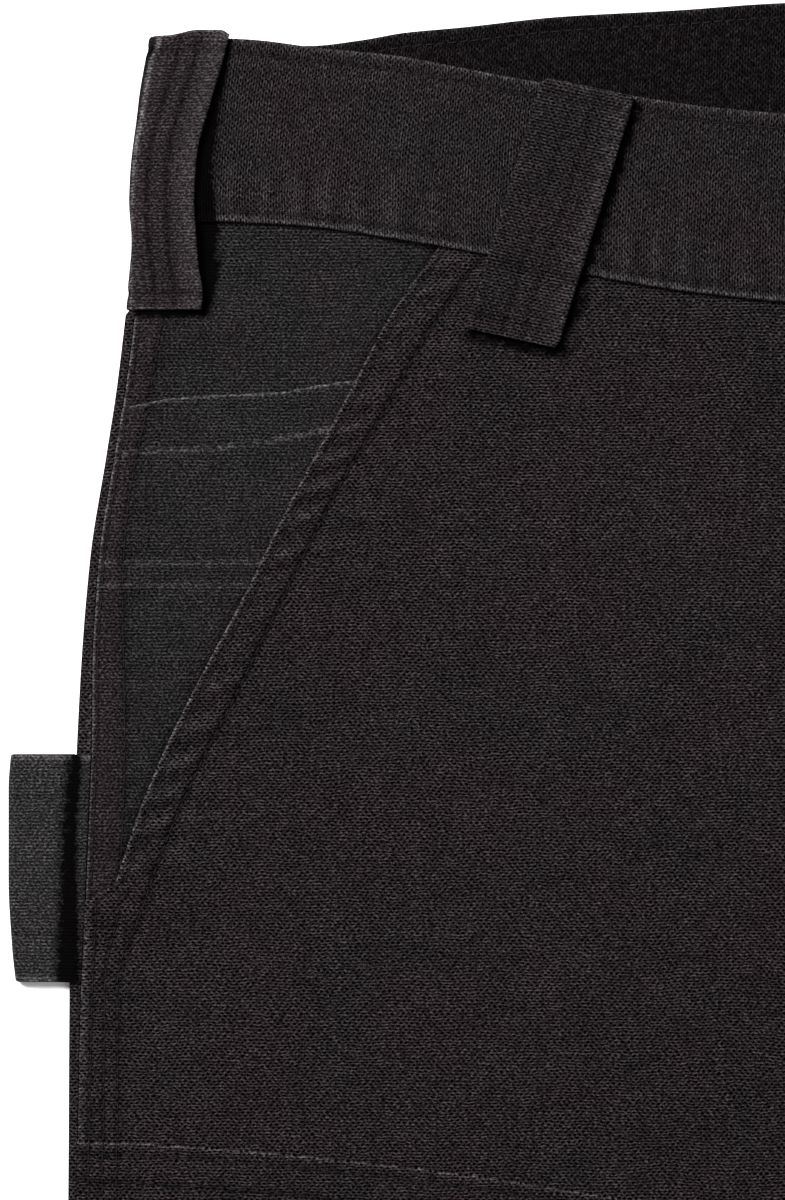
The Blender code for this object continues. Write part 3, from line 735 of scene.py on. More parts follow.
def duck(name, gain=0.90, turned=False, dash=1.42, pick=0.80, ribs=0.50, holes=1.06, sway=1.0,
         grey=(0.0, 0.5)):
    """Heavy duck canvas: rows of worn yarn of uneven brightness, with staggered holes between.

    gain    brightness of the yarn
    turned  True where the rows run up the cloth
    dash    spacing of the holes along a row, in millimetres
    pick    spacing of the rows, in millimetres
    ribs    depth of the valleys between rows, and holes, of the holes
    sway    how far the rows wander
    grey    least and greatest share of grey in the dark brown
    """
    material, tree, shader = new_material(name, Roughness=0.9, Specular_IOR_Level=0.005)
    flat = scaled(add(tree, "UVMap", {}, uv_map="UVMap"), 1000.0)
    moved = flat
    for size, reach in ((16.0, 1.6), (2.1, 0.7), (0.6, 0.36)):
        shift = scaled(noise(flat, size, 1.0, output=1), reach * sway)
        moved = add(tree, "VectorMath", {0: moved, 1: shift}, operation="ADD")
    across, up = (add(tree, "SeparateXYZ", {0: moved}, output=axis)
                  for axis in ((1, 0) if turned else (0, 1)))
    u, v = across / dash, up / pick
    row = v.calc("FLOOR")
    staggered = u + row.calc("FLOORED_MODULO", 2.0) * 0.5
    cell = add(tree, "CombineXYZ", {0: staggered.calc("FLOOR"), 1: row})
    chance = add(tree, "TexWhiteNoise", {0: cell}, noise_dimensions="3D")
    beside = 0.5 - staggered.calc("PINGPONG", 0.5)
    above = 0.5 - v.calc("PINGPONG", 0.5)
    spread = (beside / 0.30).calc("POWER", 2.0) + (above / 0.38).calc("POWER", 2.0)
    hole = step(spread, 0.1, 1.4, 1.0, 0.0) * (chance * (0.6 * holes) + 0.42 * holes)
    yarn_height = 1.0 - hole - step(above, 0.02, 0.44, ribs, 0.0)
    floats = add(tree, "CombineXYZ", {0: u, 1: v})
    bright = step(noise(floats, 0.52, 1.0), 0.40, 0.72, 0.30, 2.4)
    fibre = noise(flat, 0.26)
    lively = bright * (fibre * 2.0 - 0.15) * (noise(flat, 2.6) + 0.5)
    patchy = noise(flat, 9.0, 3.0) * 0.8 + 0.6
    mottle = step(noise(flat, 26.0, 4.0), 0.36, 0.64, *grey) * (1.0 - attribute(tree, "warm"))
    brown, ash, pit = ((*(gain * value for value in colour), 1) for colour in (BROWN, ASH, PIT))
    yarn = blend(mottle, brown, ash)
    # The colour falls towards the pit colour in the weave's holes and in the valleys between rows:
    # painted shade of these recesses, beside the bump
    colour = blend(yarn_height * lively * patchy, pit, yarn, clamped=False)
    broken = step(noise(flat, 1.6), 0.36, 0.62, 0.18, 1.0)
    raised = yarn_height * lively * 0.85 + 0.15
    # Lightens towards pale yarn by the wear field: real wear at edges, painted highlight on pucker
    # crests and on the side loop's turn
    colour = blend(attribute(tree, "wear_and_highlight") * broken * raised, colour, WEAR_AND_HIGHLIGHT_YARN)
    # Painted shade: darker along stitch rows and at stitch holes, and as deep as each piece's field
    # of painted shade says
    groove = step(attribute(tree, "away"), 0.15, 1.0, 1.0, 0.0)
    beat = (attribute(tree, "along") / STITCH).calc("PINGPONG", 0.5)
    prick = step(beat, 0.0, 0.16, 1.0, 0.0) * groove
    ragged = step(noise(flat, 1.8), 0.30, 0.66, 1.35, 0.75)
    shade = (groove * 0.22 + prick * 0.4).calc("MAXIMUM", attribute(tree, "painted_shade") * ragged)
    wire(blend(shade.calc("MINIMUM", 0.99), colour, DEEP_SHADE), shader, "Base Color")
    height = yarn_height + bright * 0.12 + fibre * 0.3 - prick * 1.2
    values = {"Strength": 1.0, "Distance": 0.2 * MM, "Height": height}
    wire(add(tree, "Bump", values), shader, "Normal")
    return material


def thread_material():
    """Dark twisted thread."""
    material, tree, shader = new_material("thread", Roughness=0.8, Specular_IOR_Level=0.08)
    grain = noise(add(tree, "TexCoord", {}, output=3), 0.4 * MM)
    colour = blend(grain, (0.003, 0.0026, 0.0028, 1), (0.013, 0.0108, 0.0115, 1))
    wire(colour, shader, "Base Color")
    values = {"Strength": 0.6, "Distance": 0.1 * MM, "Height": grain}
    wire(add(tree, "Bump", values), shader, "Normal")
    return material


def metal_material(name, colour, roughness):
    """Worn metal with fine scratches."""
    material, tree, shader = new_material(name, Metallic=1.0)
    where = add(tree, "TexCoord", {}, output=3)
    cloud, grain = noise(where, 4 * MM, 3.0), noise(where, 0.5 * MM, 4.0)
    dull = tuple(0.5 * value for value in colour)
    wire(blend(step(cloud, 0.3, 0.7), (*colour, 1), (*dull, 1)), shader, "Base Color")
    wire(step(grain, 0.3, 0.7, roughness - 0.1, roughness + 0.15), shader, "Roughness")
    values = {"Strength": 0.25, "Distance": 0.1 * MM, "Height": grain}
    wire(add(tree, "Bump", values), shader, "Normal")
    return material


DUCK = duck("duck")
FACING_DUCK = duck("facing_duck", gain=0.83, dash=1.25, pick=0.86, ribs=0.45, holes=0.62, sway=0.6,
                   grey=(0.42, 1.0))
BAND_DUCK = duck("band_duck", gain=0.79, turned=True, dash=1.45, pick=0.69, ribs=0.45, holes=0.85,
                 sway=0.6, grey=(0.1, 0.66))
STRAP_DUCK = duck("strap_duck", gain=0.82, dash=1.3, pick=0.83, ribs=0.6, holes=0.7, sway=0.5,
                  grey=(0.1, 0.66))
SIDE_DUCK = duck("side_duck", gain=0.87, dash=1.3, pick=0.83, ribs=0.5, holes=0.35, sway=0.4,
                 grey=(0.0, 0.3))
HAMMER_DUCK = duck("hammer_duck", gain=1.28, dash=1.3, pick=0.84, ribs=0.5, holes=0.45, sway=0.4,
                   grey=(0.76, 1.0))
THREAD = thread_material()
BRASS = metal_material("button_metal", (0.20, 0.17, 0.14), 0.42)
TEETH = metal_material("zip_metal", (0.30, 0.24, 0.15), 0.38)


def front_columns(side, depth_of):
    """Places of every row's points, from the side to the inner edge. depth_of gives the rows."""
    outer, inner = 200.0, 0.0
    for _ in range(12):
        outer = front_outer(depth_of(outer))
        inner = front_inner(side, depth_of(inner))
    at_side = depth_of(outer)
    first, second = first_row(at_side), second_row(at_side)
    for _ in range(4):
        first, second = first_row(depth_of(first)), second_row(depth_of(second))
    middle = mix(first, second, 0.5)
    columns = [outer - stop for stop in EDGE_STOPS]
    columns += [first + stop for stop in AROUND_ROW]
    columns += [mix(first - 0.9, middle + 0.9, share) for share in (0.33, 0.67)]
    columns += [middle + stop for stop in AROUND_ROW]
    columns += [mix(middle - 0.9, second + 0.9, share) for share in (0.33, 0.67)]
    columns += [second + stop for stop in AROUND_ROW]
    columns += [second - stop for stop in (1.3, 1.8, 2.6, 4.0)]
    ends = [inner + stop for stop in (*INNER_STOPS, *EDGE_STOPS[::-1])]
    columns += [mix(columns[-1], ends[0], i / MIDDLE_COUNT) for i in range(1, MIDDLE_COUNT)]
    return np.stack(columns + ends, axis=-1)


def steps(*stops):
    """Row places: each pair of stops is a start and the spacing from there on."""
    places = []
    for (start, spacing), (end, _) in zip(stops, stops[1:]):
        count = max(int(round((end - start) / spacing)), 1)
        places += [start + (end - start) * i / count for i in range(count)]
    return np.array(places + [stops[-1][0]], float)


def first_rows(start, spacing):
    """Stops from a rounded edge on, with the spacing beyond it."""
    return [(start + stop, gap) for stop, gap in FIRST_ROWS] + [(start + 0.8, spacing)]


def edged_steps(start, end, spacing):
    """Row places of a piece with a rounded edge at each end."""
    return steps(*first_rows(start, spacing), *((end + stop, gap) for stop, gap in LAST_ROWS))


def front_depths(base, out):
    """Depth of the rows of a front panel, which follow the waistband and then the patch."""
    at_band = ease((180 - base) / 86)
    bend = at_band * (front_low(out) - 46.0)
    return base + bend + patch_share(base) * (curve(PATCH_TOP, out) - PATCH_START)


def edge_distance(out, depth):
    """Distance of each point of a grid from the nearest of its borders."""
    across = np.minimum(np.abs(out - out[:, :1]), np.abs(out - out[:, -1:]))
    down = np.minimum(np.abs(depth - depth[:1]), np.abs(depth - depth[-1:]))
    return np.minimum(across, down)


def cloth_grid(side, name, out, depth, surface, material):
    """A closed piece of cloth over a grid of places, from its underside, top and fields."""
    under, top, fields = surface
    low, high = rounded(under, top, edge_distance(out, depth))
    uv = np.stack([side * out * MM, -depth * MM], axis=-1)
    return shell(name, place(side, out, depth, high), place(side, out, depth, low), uv, fields,
                 material)


def front_panel(side, word):
    """A front panel, with more points where it is stitched, puckered or cut off."""
    base = steps((37, 0.3), (37.9, 2.0), (48, 1.5), (276, 2.2), (287, 12), (838, 3), (853, 5),
                 (1104, 0.8), (1112, 1.2), (1119.2, 0.35), (1119.8, 0.1), (LENGTH, 0))
    out = front_columns(side, lambda at: front_depths(base, at))
    depth = front_depths(base[:, None], out)
    return cloth_grid(side, f"front_{word}_cloth", out, depth, front_surface(side, out, depth), DUCK)


def patch_surface(side, out, depth, below_edge):
    """Faces and fields of a knee patch, which lies on the front panel."""
    _, cover, front = front_surface(side, out, depth)
    under = cover + GAP
    hem = ease((PATCH_HEM + 0.8 - below_edge) / 1.2)
    end = PATCH_BOTTOM - depth
    rows = np.stack([front["away"]] + [np.abs(start - inset) for start in (below_edge, end)
                                       for inset in PATCH_ROWS])
    along = np.where(rows.argmin(axis=0) > 0, out, front["along"])
    wavy = 0.16 * puckers(out, 8.6, 0.7 + side) * np.sin(math.pi * clip(below_edge / 12.5))
    top = under + CLOTH + FELL * hem + wavy - 0.3 * bell(rows[1:].min(axis=0), 0.75)
    wear_and_highlight = 0.48 * np.maximum(worn(below_edge, 0.42), bell(end, 0.4))
    return under, top, {"wear_and_highlight": wear_and_highlight, "away": rows.min(axis=0), "along": along}


def knee_patch(side, word):
    """The double front that lies on a front panel from above the knee to below it."""
    base = steps(*first_rows(PATCH_START, 0.7), (290, 1.4), (304, 3.2), (336, 6), (836, 1.2),
                 (849.2, 0.35), (849.9, 0.1), (PATCH_BOTTOM, 0))
    out = front_columns(side, lambda at: front_depths(base, at))
    depth = front_depths(base[:, None], out)
    below_edge = base[:, None] - PATCH_START + 0 * out
    surface = patch_surface(side, out, depth, below_edge)
    return cloth_grid(side, f"knee_patch_{word}_cloth", out, depth, surface, DUCK)


def facing_faces(side, out, depth):
    """Underside, top and fields of the pocket facing. Its field warm is 1 on the felled strip,
    where the dye has kept more of its red."""
    from_seam = seam_out(depth) - SEAM_GAP - out
    seam_level = fold_base(depth) + 2 * FOLD_RADIUS - FACING_SINK
    near_seam = ease(1 - from_seam / FACING_REACH)
    under = mix(curve(FACING_LEVEL, depth - front_low(out)), seam_level, near_seam)
    strip = curve(FACING_STRIP, depth)
    felled = ease((out - strip + 1.2) / 1.6) * ease((depth - front_low(out) - 1) / 1.5)
    away = np.minimum(np.abs(from_seam - FACING_ROW), np.abs(out - strip - STRIP_ROW))
    below = depth - front_low(out)
    uneven = 0.16 * waves(out, depth, 40, 31 + side) * ease(below / 12)
    crease = 1.0 * bell(depth - 80 + (out - 200) * 0.62, 6) * bell(out - 210, 15)
    wavy = 0.40 * puckers(depth, 9.5, 3.0 + side) * bell(out - strip + 3, 4)
    lowered = ease((from_seam - 1) / 8) * ease((depth - 100) / 20)
    top = under + CLOTH + FELL * felled + wavy - 0.26 * bell(away, 0.8)
    shift = uneven + crease - 0.25 * lowered
    wear_and_highlight = 0.7 * worn(from_seam, 0.5) * mix(1.0, 0.6, ease((depth - 145) / 35))
    below_slash = curve(SLASH, depth) - out
    # Painted shadow of the front panel's pocket edge on the facing, and painted shade beside the
    # side belt loop
    painted_shade = np.maximum(loop_shade(out, depth), 0.5 * ease((below_slash + 2.2) / 2.0))
    warm = 0.85 * ease((out - strip + 0.8) / 1.6)
    fields = {"wear_and_highlight": wear_and_highlight, "away": away, "along": depth + 0 * out, "painted_shade": painted_shade, "warm": warm}
    return under + shift, top + shift, fields


def facing_columns(depth_of):
    """Places of every row's points, from the side seam to the edge under the front panel."""
    seam = slash = 200.0
    for _ in range(12):
        seam = seam_out(depth_of(seam)) - SEAM_GAP
        slash = curve(SLASH, depth_of(slash))
    strip = curve(FACING_STRIP, depth_of(seam))
    columns = [seam - stop for stop in (*EDGE_STOPS, FACING_ROW, 1.8)]
    columns += [mix(seam - 1.8, strip + 1.2, share) for share in (0.2, 0.4, 0.6, 0.8)]
    columns += [strip + stop for stop in (1.2, 0.8, 0.4, 0.0, -0.5, -1.0, -1.6)]
    end = slash - FACING_UNDERLAP
    columns += [mix(columns[-1], end + 0.9, i / 34) for i in range(1, 34)]
    columns += [end + stop for stop in EDGE_STOPS[::-1]]
    return np.stack(columns, axis=-1)


def pocket_facing(side, word):
    """The cloth that shows in a slash pocket."""
    base = steps((37, 0.3), (37.6, 1.5), (216.2, 0.35), (216.8, 0.2), (FACING_TAIL, 0))

    def depth_of(at, rows=base):
        return rows + ease((112 - rows) / 60) * (front_low(at) - 46.0)

    out = facing_columns(depth_of)
    depth = depth_of(out, base[:, None])
    surface = facing_faces(side, out, depth)
    return cloth_grid(side, f"pocket_facing_{word}_cloth", out, depth, surface, FACING_DUCK)


def coin_faces(side, out, depth, below_edge):
    """Faces and fields of the small pocket, which lies on the facing."""
    _, cover, facing = facing_faces(side, out, depth)
    flush = mix(0.06, 1.0, ease((COIN_END - depth) / 15))
    under = cover + GAP * flush
    hem = ease((COIN_HEM + 0.6 - below_edge) / 1.2) * 0.35
    rows = np.stack([depth - curve(COIN_ROW, out)] + [depth - row for row in COIN_LOW_ROWS])
    wavy = 0.10 * puckers(out, 7.5, 0.2) * np.sin(math.pi * clip(below_edge / (COIN_HEM + 3)))
    top = under + (CLOTH + hem + wavy - 0.12 * bell(np.abs(rows).min(axis=0), 0.6)) * flush
    wear_and_highlight = largest(0.72 * worn(below_edge, 0.5), facing["wear_and_highlight"], 0.55 * bell(rows[0] - 0.3, 0.6),
                   0.38 * bell(rows[1] - 0.2, 0.5), 0.36 * bell(rows[2] + 0.1, 0.5))
    return under, top, {**facing, "wear_and_highlight": wear_and_highlight, "painted_shade": 0 * wear_and_highlight}


def coin_pocket(side):
    """The small pocket. Its first columns are the facing's, as far as the felled strip reaches."""
    height = 48
    share = steps(*first_rows(0, 0.8), (47, 0.45), (47.9, 0.05), (height, 0)) / height

    def depth_of(at, rows=share):
        edge = curve(COIN_EDGE, at)
        return edge + (COIN_END - edge) * rows

    columns = facing_columns(depth_of)
    on_strip = columns[:, :STRIP_COLUMNS]
    inner = columns[:, -1:] + FACING_UNDERLAP - COIN_UNDERLAP
    across = np.linspace(0, 1, 30)[1:]
    out = np.concatenate([on_strip, mix(on_strip[:, -1:], inner, across)], axis=1)
    depth = depth_of(out, share[:, None])
    below_edge = depth - curve(COIN_EDGE, out)
    surface = coin_faces(side, out, depth, below_edge)
    return cloth_grid(side, "coin_pocket_cloth", out, depth, surface, FACING_DUCK)


def back_panel(side, word):
    """The back, which comes round the side fold to the seam on the front."""
    base = steps((0, 0.4), (0.8, 3.0), (60, 2.2), (300, 6), (1110, 1.2), (1119.2, 0.35),
                 (1119.8, 0.1), (LENGTH, 0))
    start = BAND_HEIGHT + GAP - SEAM_ALLOWANCE
    base = start + base * (LENGTH - start) / LENGTH
    rows = base[:, None]
    level = fold_base(rows)
    centre = fold_out(rows) - FOLD_RADIUS
    seam = seam_out(rows)
    run = centre - seam
    stops = np.array([0.0, 0.04, 0.15, 0.35, 0.6, 0.8, 1.0])
    front = seam + run * stops
    turns = np.radians(np.linspace(90, -90, 17)[1:])
    inner_stops = np.array([9.0, 7.6, 7.1, 6.6, 6.1, 4.2, 2.5, 2.1, 1.8, 1.4, 1.1])
    inner = inner_out(rows)
    back = np.concatenate([mix(centre, inner + 10.0, np.linspace(0, 1, 34)[1:]),
                           inner + inner_stops, inner + EDGE_STOPS[::-1]], axis=1)
    flat = np.concatenate([front, centre + 0 * turns, back], axis=1)
    follows = ease((170 - rows) / 80)
    depth = rows + follows * (back_low(flat) - BAND_HEIGHT - GAP) * (flat < 206)
    under_back = curve(BACK_LEVEL, depth - back_low(flat))
    outer_out, inner_line = flat.copy(), flat.copy()
    arc = slice(front.shape[1], front.shape[1] + len(turns))
    on_front = np.arange(flat.shape[1]) < arc.start
    on_back = np.arange(flat.shape[1]) >= arc.stop
    fold_top = level + 2 * FOLD_RADIUS
    outer_height = np.where(on_front, fold_top, under_back)
    inner_height = np.where(on_front, fold_top - CLOTH, under_back + CLOTH)
    thin = FOLD_RADIUS - CLOTH
    outer_out[:, arc] = centre + FOLD_RADIUS * np.cos(turns)
    inner_line[:, arc] = centre + thin * np.cos(turns)
    outer_height[:, arc] = level + FOLD_RADIUS + FOLD_RADIUS * np.sin(turns)
    inner_height[:, arc] = level + FOLD_RADIUS + thin * np.sin(turns)
    from_inside = np.where(on_back, flat - inner, FAR)
    lines = np.stack([np.abs(from_inside - inset) for inset in INSEAM_ROWS]
                     + [np.abs(depth - HEM_ROW)])
    away = lines.min(axis=0)
    along = np.where(lines.argmin(axis=0) == 2, flat, depth)
    outer_height = outer_height + 0.3 * bell(away, 0.8) * on_back
    from_seam = np.where(on_front, np.abs(flat - flat[:, :1]), FAR)
    from_ends = np.minimum(rows - rows[:1], rows[-1:] - rows)
    borders = np.minimum(np.minimum(from_seam, from_inside), from_ends)
    faces = wrapped_faces(side, depth, (outer_out, outer_height), (inner_line, inner_height),
                          borders, 0.55)
    around = length_round(outer_out, outer_height)
    uv = np.stack([-side * around * MM, -depth * MM], axis=-1)
    wear_and_highlight = 0.35 * bell(borders, 0.4) + 0.25 * bell(np.abs(flat - centre) - FOLD_RADIUS, 0.5)
    fields = {"wear_and_highlight": wear_and_highlight, "away": away, "along": along}
    return shell(f"back_{word}_cloth", faces[0], faces[1], uv, fields, DUCK)


def band_level(side, out):
    """Outer face of the front waistband."""
    level = BAND_FRONT + curve(POCKET_BULK, out)
    if side == LEFT:
        lapped = ease((BAND_LAP_END - out) / (BAND_LAP_END - BAND_LAP_START))
        level = level + BAND_LAP_RAISE * lapped
    return level


def band_points(side, out_share, angle, down, inward):
    """Points of the waistband: share of the way out, angle round the fold, distance down it,
    and distance in from its outer face. The angle is 90 degrees on the front, -90 on the back."""
    share = down / BAND_HEIGHT
    fold = body_out(share * BAND_HEIGHT) - BAND_RADIUS
    on_front = angle > 0
    out = mix(np.where(on_front, -BAND_OVERLAP, 0.15), fold, out_share)
    turning = out_share >= 1
    back_top = curve(BACK_TOP, out)
    top = np.where(on_front, curve(FRONT_TOP, out), back_top)
    low = np.where(on_front, front_low(out), back_top + BAND_HEIGHT)
    top = np.where(turning, 0.0, top)
    low = np.where(turning, BAND_HEIGHT, low)
    back_base = BAND_BACK + BAND_RADIUS
    base = np.where(on_front & ~turning, band_level(side, out) - BAND_RADIUS, back_base)
    turn = np.radians(angle)
    radius = BAND_RADIUS - inward
    return place(side, out + radius * np.cos(turn), mix(top, low, share),
                 base + radius * np.sin(turn))


def band_section():
    """Distance down and distance in of the waistband's section, from the top of its inner face
    over the top edge, down the outer face and up the inner face."""
    down, inward = [], []
    for turn in np.linspace(0, math.pi, 9):
        down.append(1.0 - math.sin(turn))
        inward.append(BAND / 2 + BAND / 2 * math.cos(turn))
    rows = steps((1.0, 0.7), (2.6, 0.4), (4.9, 1.3), (40.6, 0.5), (44.3, 0.35), (45.0, 0))[1:]
    down += list(rows)
    inward += [0.0] * len(rows)
    for turn in np.linspace(0, math.pi, 8)[1:]:
        down.append(45.0 + 0.6 * math.sin(turn))
        inward.append(LIP / 2 - LIP / 2 * math.cos(turn))
    slot = BAND_HEIGHT - SEAM_ALLOWANCE - GAP
    down += [42.0, 39.0, slot, slot]
    inward += [LIP, LIP, LIP, BAND]
    upward = [slot - 0.8 - i * 1.25 for i in range(int((slot - 6) / 1.25))]
    upward += [4.9, 4.5, 4.1, BAND_ROW_TOP, 3.4, 3.0, 2.6, 1.8]
    down += upward
    inward += [BAND] * len(upward)
    return np.array(down), np.array(inward)


def band_stations():
    """Share of the way out and angle round the fold of the waistband's sections."""
    front = np.linspace(0, 1, 150)
    front = np.concatenate([[0.0, 0.0003, 0.001, 0.0022, 0.004], front[1:]])
    angles = np.linspace(90, -90, 24)[1:]
    back = np.linspace(1, 0, 90)[1:]
    shares = np.concatenate([front, np.ones(len(angles)), back])
    turns = np.concatenate([np.full(len(front), 90.0), angles, np.full(len(back), -90.0)])
    return shares, turns


def band_relief(side, along, down):
    """How far the outer face of the waistband stands out, away from its stitch rows."""
    rows = np.minimum(np.abs(down - BAND_ROW_TOP), np.abs(BAND_HEIGHT - BAND_ROW_LOW - down))
    lower = ease((down - 24) / 16) * ease((BAND_HEIGHT + 2 - down) / 6)
    upper = ease((9 - down) / 6)
    relief = 0.60 * lower * puckers(along, BAND_PUCKER, 0.4 + side)
    relief = relief + 0.09 * upper * puckers(along, 7.4, 2.4 + side)
    relief = relief + 0.14 * waves(along, down, 34, 41 + side)
    relief = relief + 0.16 * bell(BAND_HEIGHT - 0.9 - down, 0.8)
    return relief - 0.30 * bell(rows, 0.7), rows


def band_run(side, shares, turns):
    """Distance along the waistband of its stations."""
    line = band_points(side, shares, turns, 22.0, 0.0)
    lengths = np.linalg.norm(np.diff(line, axis=0), axis=1) / MM
    return np.concatenate([[0.0], np.cumsum(lengths)])


def waistband(side, word):
    """Half of the waistband: its section swept along the front, round the side and back."""
    shares, turns = band_stations()
    down, inward = band_section()
    along = band_run(side, shares, turns)
    grid_along, grid_down = np.meshgrid(along, down, indexing="ij")
    relief, rows = band_relief(side, grid_along, grid_down)
    outer = inward < 0.2
    inner = inward > BAND - 0.01
    top_run = np.abs(grid_down - BAND_ROW_TOP)
    relief = np.where(outer, relief, 0.0) + np.where(inner, 0.22 * bell(top_run, 0.7), 0.0)
    end = hat(grid_along, 0.8)
    middle = np.where(down > BAND_HEIGHT - SEAM_ALLOWANCE, LIP / 2, BAND / 2)
    pressed = mix(middle, inward - relief, end)
    points = band_points(side, shares[:, None], turns[:, None], grid_down, pressed)
    count, ring = points.shape[:2]
    index = np.arange(count * ring).reshape(count, ring)
    quads = net(np.concatenate([index, index[:, :1]], axis=1))
    flat = points.reshape(-1, 3)
    caps = []
    for station in (0, count - 1):
        middle_point = flat[index[station]].mean(axis=0)
        flat = np.concatenate([flat, middle_point[None]])
        hub = len(flat) - 1
        ring_index = index[station]
        for i in range(0, ring - 1, 2):
            caps.append((ring_index[i], ring_index[i + 1], ring_index[(i + 2) % ring], hub))
    quads = np.concatenate([quads, np.array(caps)])
    uv = np.stack([grid_along * MM, -grid_down * MM], axis=-1).reshape(-1, 2)
    top_wear = 0.42 * worn(grid_down, 0.7, 0.2)
    low_wear = 0.45 * bell(BAND_HEIGHT - 0.55 - grid_down, 0.7) * outer
    # Painted highlight on the crests of the puckers in the waistband's lower part
    pucker = ease((grid_down - 24) / 16) * puckers(grid_along, BAND_PUCKER, 0.4 + side)
    wear_and_highlight = largest(top_wear, low_wear, 0.11 * ease(pucker) * outer).ravel()
    away = np.where(outer, rows, np.where(inner, top_run, FAR)).ravel()
    on_front = outer & (turns[:, None] > 89)
    out = np.abs(points[..., 0]) / MM
    depth = MIDDLE_DEPTH - points[..., 1] / MM
    painted_shade = np.where(on_front, loop_shade(out, depth), 0.0)
    # Painted shade on the waistband's inner face and on its back half
    painted_shade = np.where(inner | (turns[:, None] < 0), np.maximum(painted_shade, 0.62), painted_shade)
    fields = {"wear_and_highlight": np.append(wear_and_highlight, [0, 0]), "away": np.append(away, [FAR, FAR]),
              "along": np.append(grid_along.ravel(), [0, 0]), "painted_shade": np.append(painted_shade, [0, 0])}
    uv = np.concatenate([uv, uv[:2]])
    return object_from(f"waistband_{word}_cloth", flat, quads, BAND_DUCK, uv, fields)


def front_cover(side, out, depth):
    """Top of whatever lies uppermost at a place near the front waistband."""
    thickness = CLOTH + FELL * ((front_outer(depth) - out < FELL_WIDTH + 0.5)
                                & (depth - front_low(out) > 1.0))
    panel = front_under(side, out, depth) + thickness
    return np.where(depth < front_low(out) + LIP_REACH, band_level(side, out), panel)


def strap_relief(along, across, length, width, seed):
    """Relief and stitch rows of a folded strap with a bar of stitches near each end."""
    edge = width / 2 - np.abs(across)
    ends = np.minimum(along, length - along)
    away = np.abs(np.abs(across) - STRAP_ROW)
    relief = -0.14 * bell(away, 0.8) + 0.12 * bell(edge - 1.6, 1.3)
    relief = relief + 0.12 * waves(across, along, 19, seed)
    relief = relief - 0.30 * bell(ends - 3.9, 1.1)
    return relief, 0.35 * np.maximum(worn(edge, 0.6), bell(ends, 0.6)), away


def strap_across(inner_stops):
    """Places across a folded strap, from edge to edge."""
    inset = np.concatenate([EDGE_STOPS, inner_stops]) - LOOP_WIDTH / 2
    return np.concatenate([inset, [0.0], -inset[::-1]])[None, :]


def strap_shell(side, name, places, run, faces, fields):
    """A folded strap, from its places out and down, along and across it, and its two faces."""
    out, depth = places
    along, across = run
    borders = np.minimum(LOOP_WIDTH / 2 - np.abs(across), np.minimum(along, along[-1] - along))
    low, high = rounded(*faces, borders)
    uv = np.stack(np.broadcast_arrays(across * MM, -along * MM), axis=-1)
    fields = {**fields, "along": along + 0 * across}
    return shell(name, place(side, out, depth, high), place(side, out, depth, low), uv, fields,
                 STRAP_DUCK)


def front_loop(side, word):
    """The slanted belt loop on the front, which stands off the waistband."""
    top_out, top_depth, low_out, low_depth = FRONT_LOOP
    shares, stand = np.array(LOOP_STAND).T
    across = np.array([-0.5, -0.4, 0.0, 0.4, 0.5]) * LOOP_WIDTH
    out = mix(top_out, low_out, shares)[:, None] + across
    depth = mix(top_depth, low_depth, shares)[:, None] - across * LOOP_SLANT
    floor = front_cover(side, out, depth).max(axis=1)
    length = math.hypot(low_out - top_out, low_depth - top_depth)
    along = edged_steps(0, length, 0.7)[:, None]
    share = along / length
    ends = np.minimum(along, length - along)
    across = strap_across([1.3, 1.9, 2.6, 3.6, 4.8, 6.2, 7.6, 8.3, 8.9, 9.5, 10.2])
    across = across * (1 - 0.07 * bell(ends, 1.1) + 0.012 * waves(along, 0 * along, 13, 91 + side))
    out = mix(top_out, low_out, share) + across
    depth = mix(top_depth, low_depth, share) - across * LOOP_SLANT
    under = curve(list(zip(shares, floor + stand)), share) + 0 * across
    relief, wear_and_highlight, away = strap_relief(along, across, length, LOOP_WIDTH, 51 + side)
    bar_shade = 0.55 * bell(ends - 4.0, 0.7) * ease(puckers(across + 0 * along, 3.1, 0.5) + 0.6)
    shaded = bell(np.maximum(LOOP_WIDTH / 2 - 0.2 - across, 0), 0.8)
    wear_and_highlight = wear_and_highlight * (1 - 0.6 * shaded)
    wear_and_highlight = np.maximum(wear_and_highlight, 0.2 * ease((6 - LOOP_WIDTH / 2 - across) / 6))
    fields = {"wear_and_highlight": wear_and_highlight, "away": away, "painted_shade": np.maximum(bar_shade, 0.28 * shaded)}
    return strap_shell(side, f"belt_loop_front_{word}_cloth", (out, depth), (along, across),
                       (under, under + STRAP + relief), fields)


def side_loop_run(depth):
    """Front edge of the side loop, middle height of its turn, and the lengths of its flat front
    and of its turn."""
    depths, levels, edges = np.array(SIDE_LOOP).T
    front_edge = curve(list(zip(depths, edges)), depth)
    middle = (curve(list(zip(depths, levels)), depth) + STRAP) / 2
    run = curve(OUTLINE, depth) - STRAP - GAP - BAND_RADIUS - front_edge
    return front_edge, middle, run, math.pi * middle * 0.75


def side_loop_line(depth, distance, inset):
    """Out, height and turn of the side loop at a distance round from its front edge, as far in
    from its outer face as the inset says."""
    front_edge, middle, run, bend = side_loop_run(depth)
    turn = math.pi / 2 - math.pi * clip((distance - run) / bend)
    reach = BAND_RADIUS + STRAP + GAP - inset
    past = np.maximum(distance - run - bend, 0.0)
    turned = front_edge + run + reach * np.cos(turn) - past
    out = np.where(distance < run, front_edge + distance, turned)
    return out, middle + (middle - inset) * np.sin(turn), turn


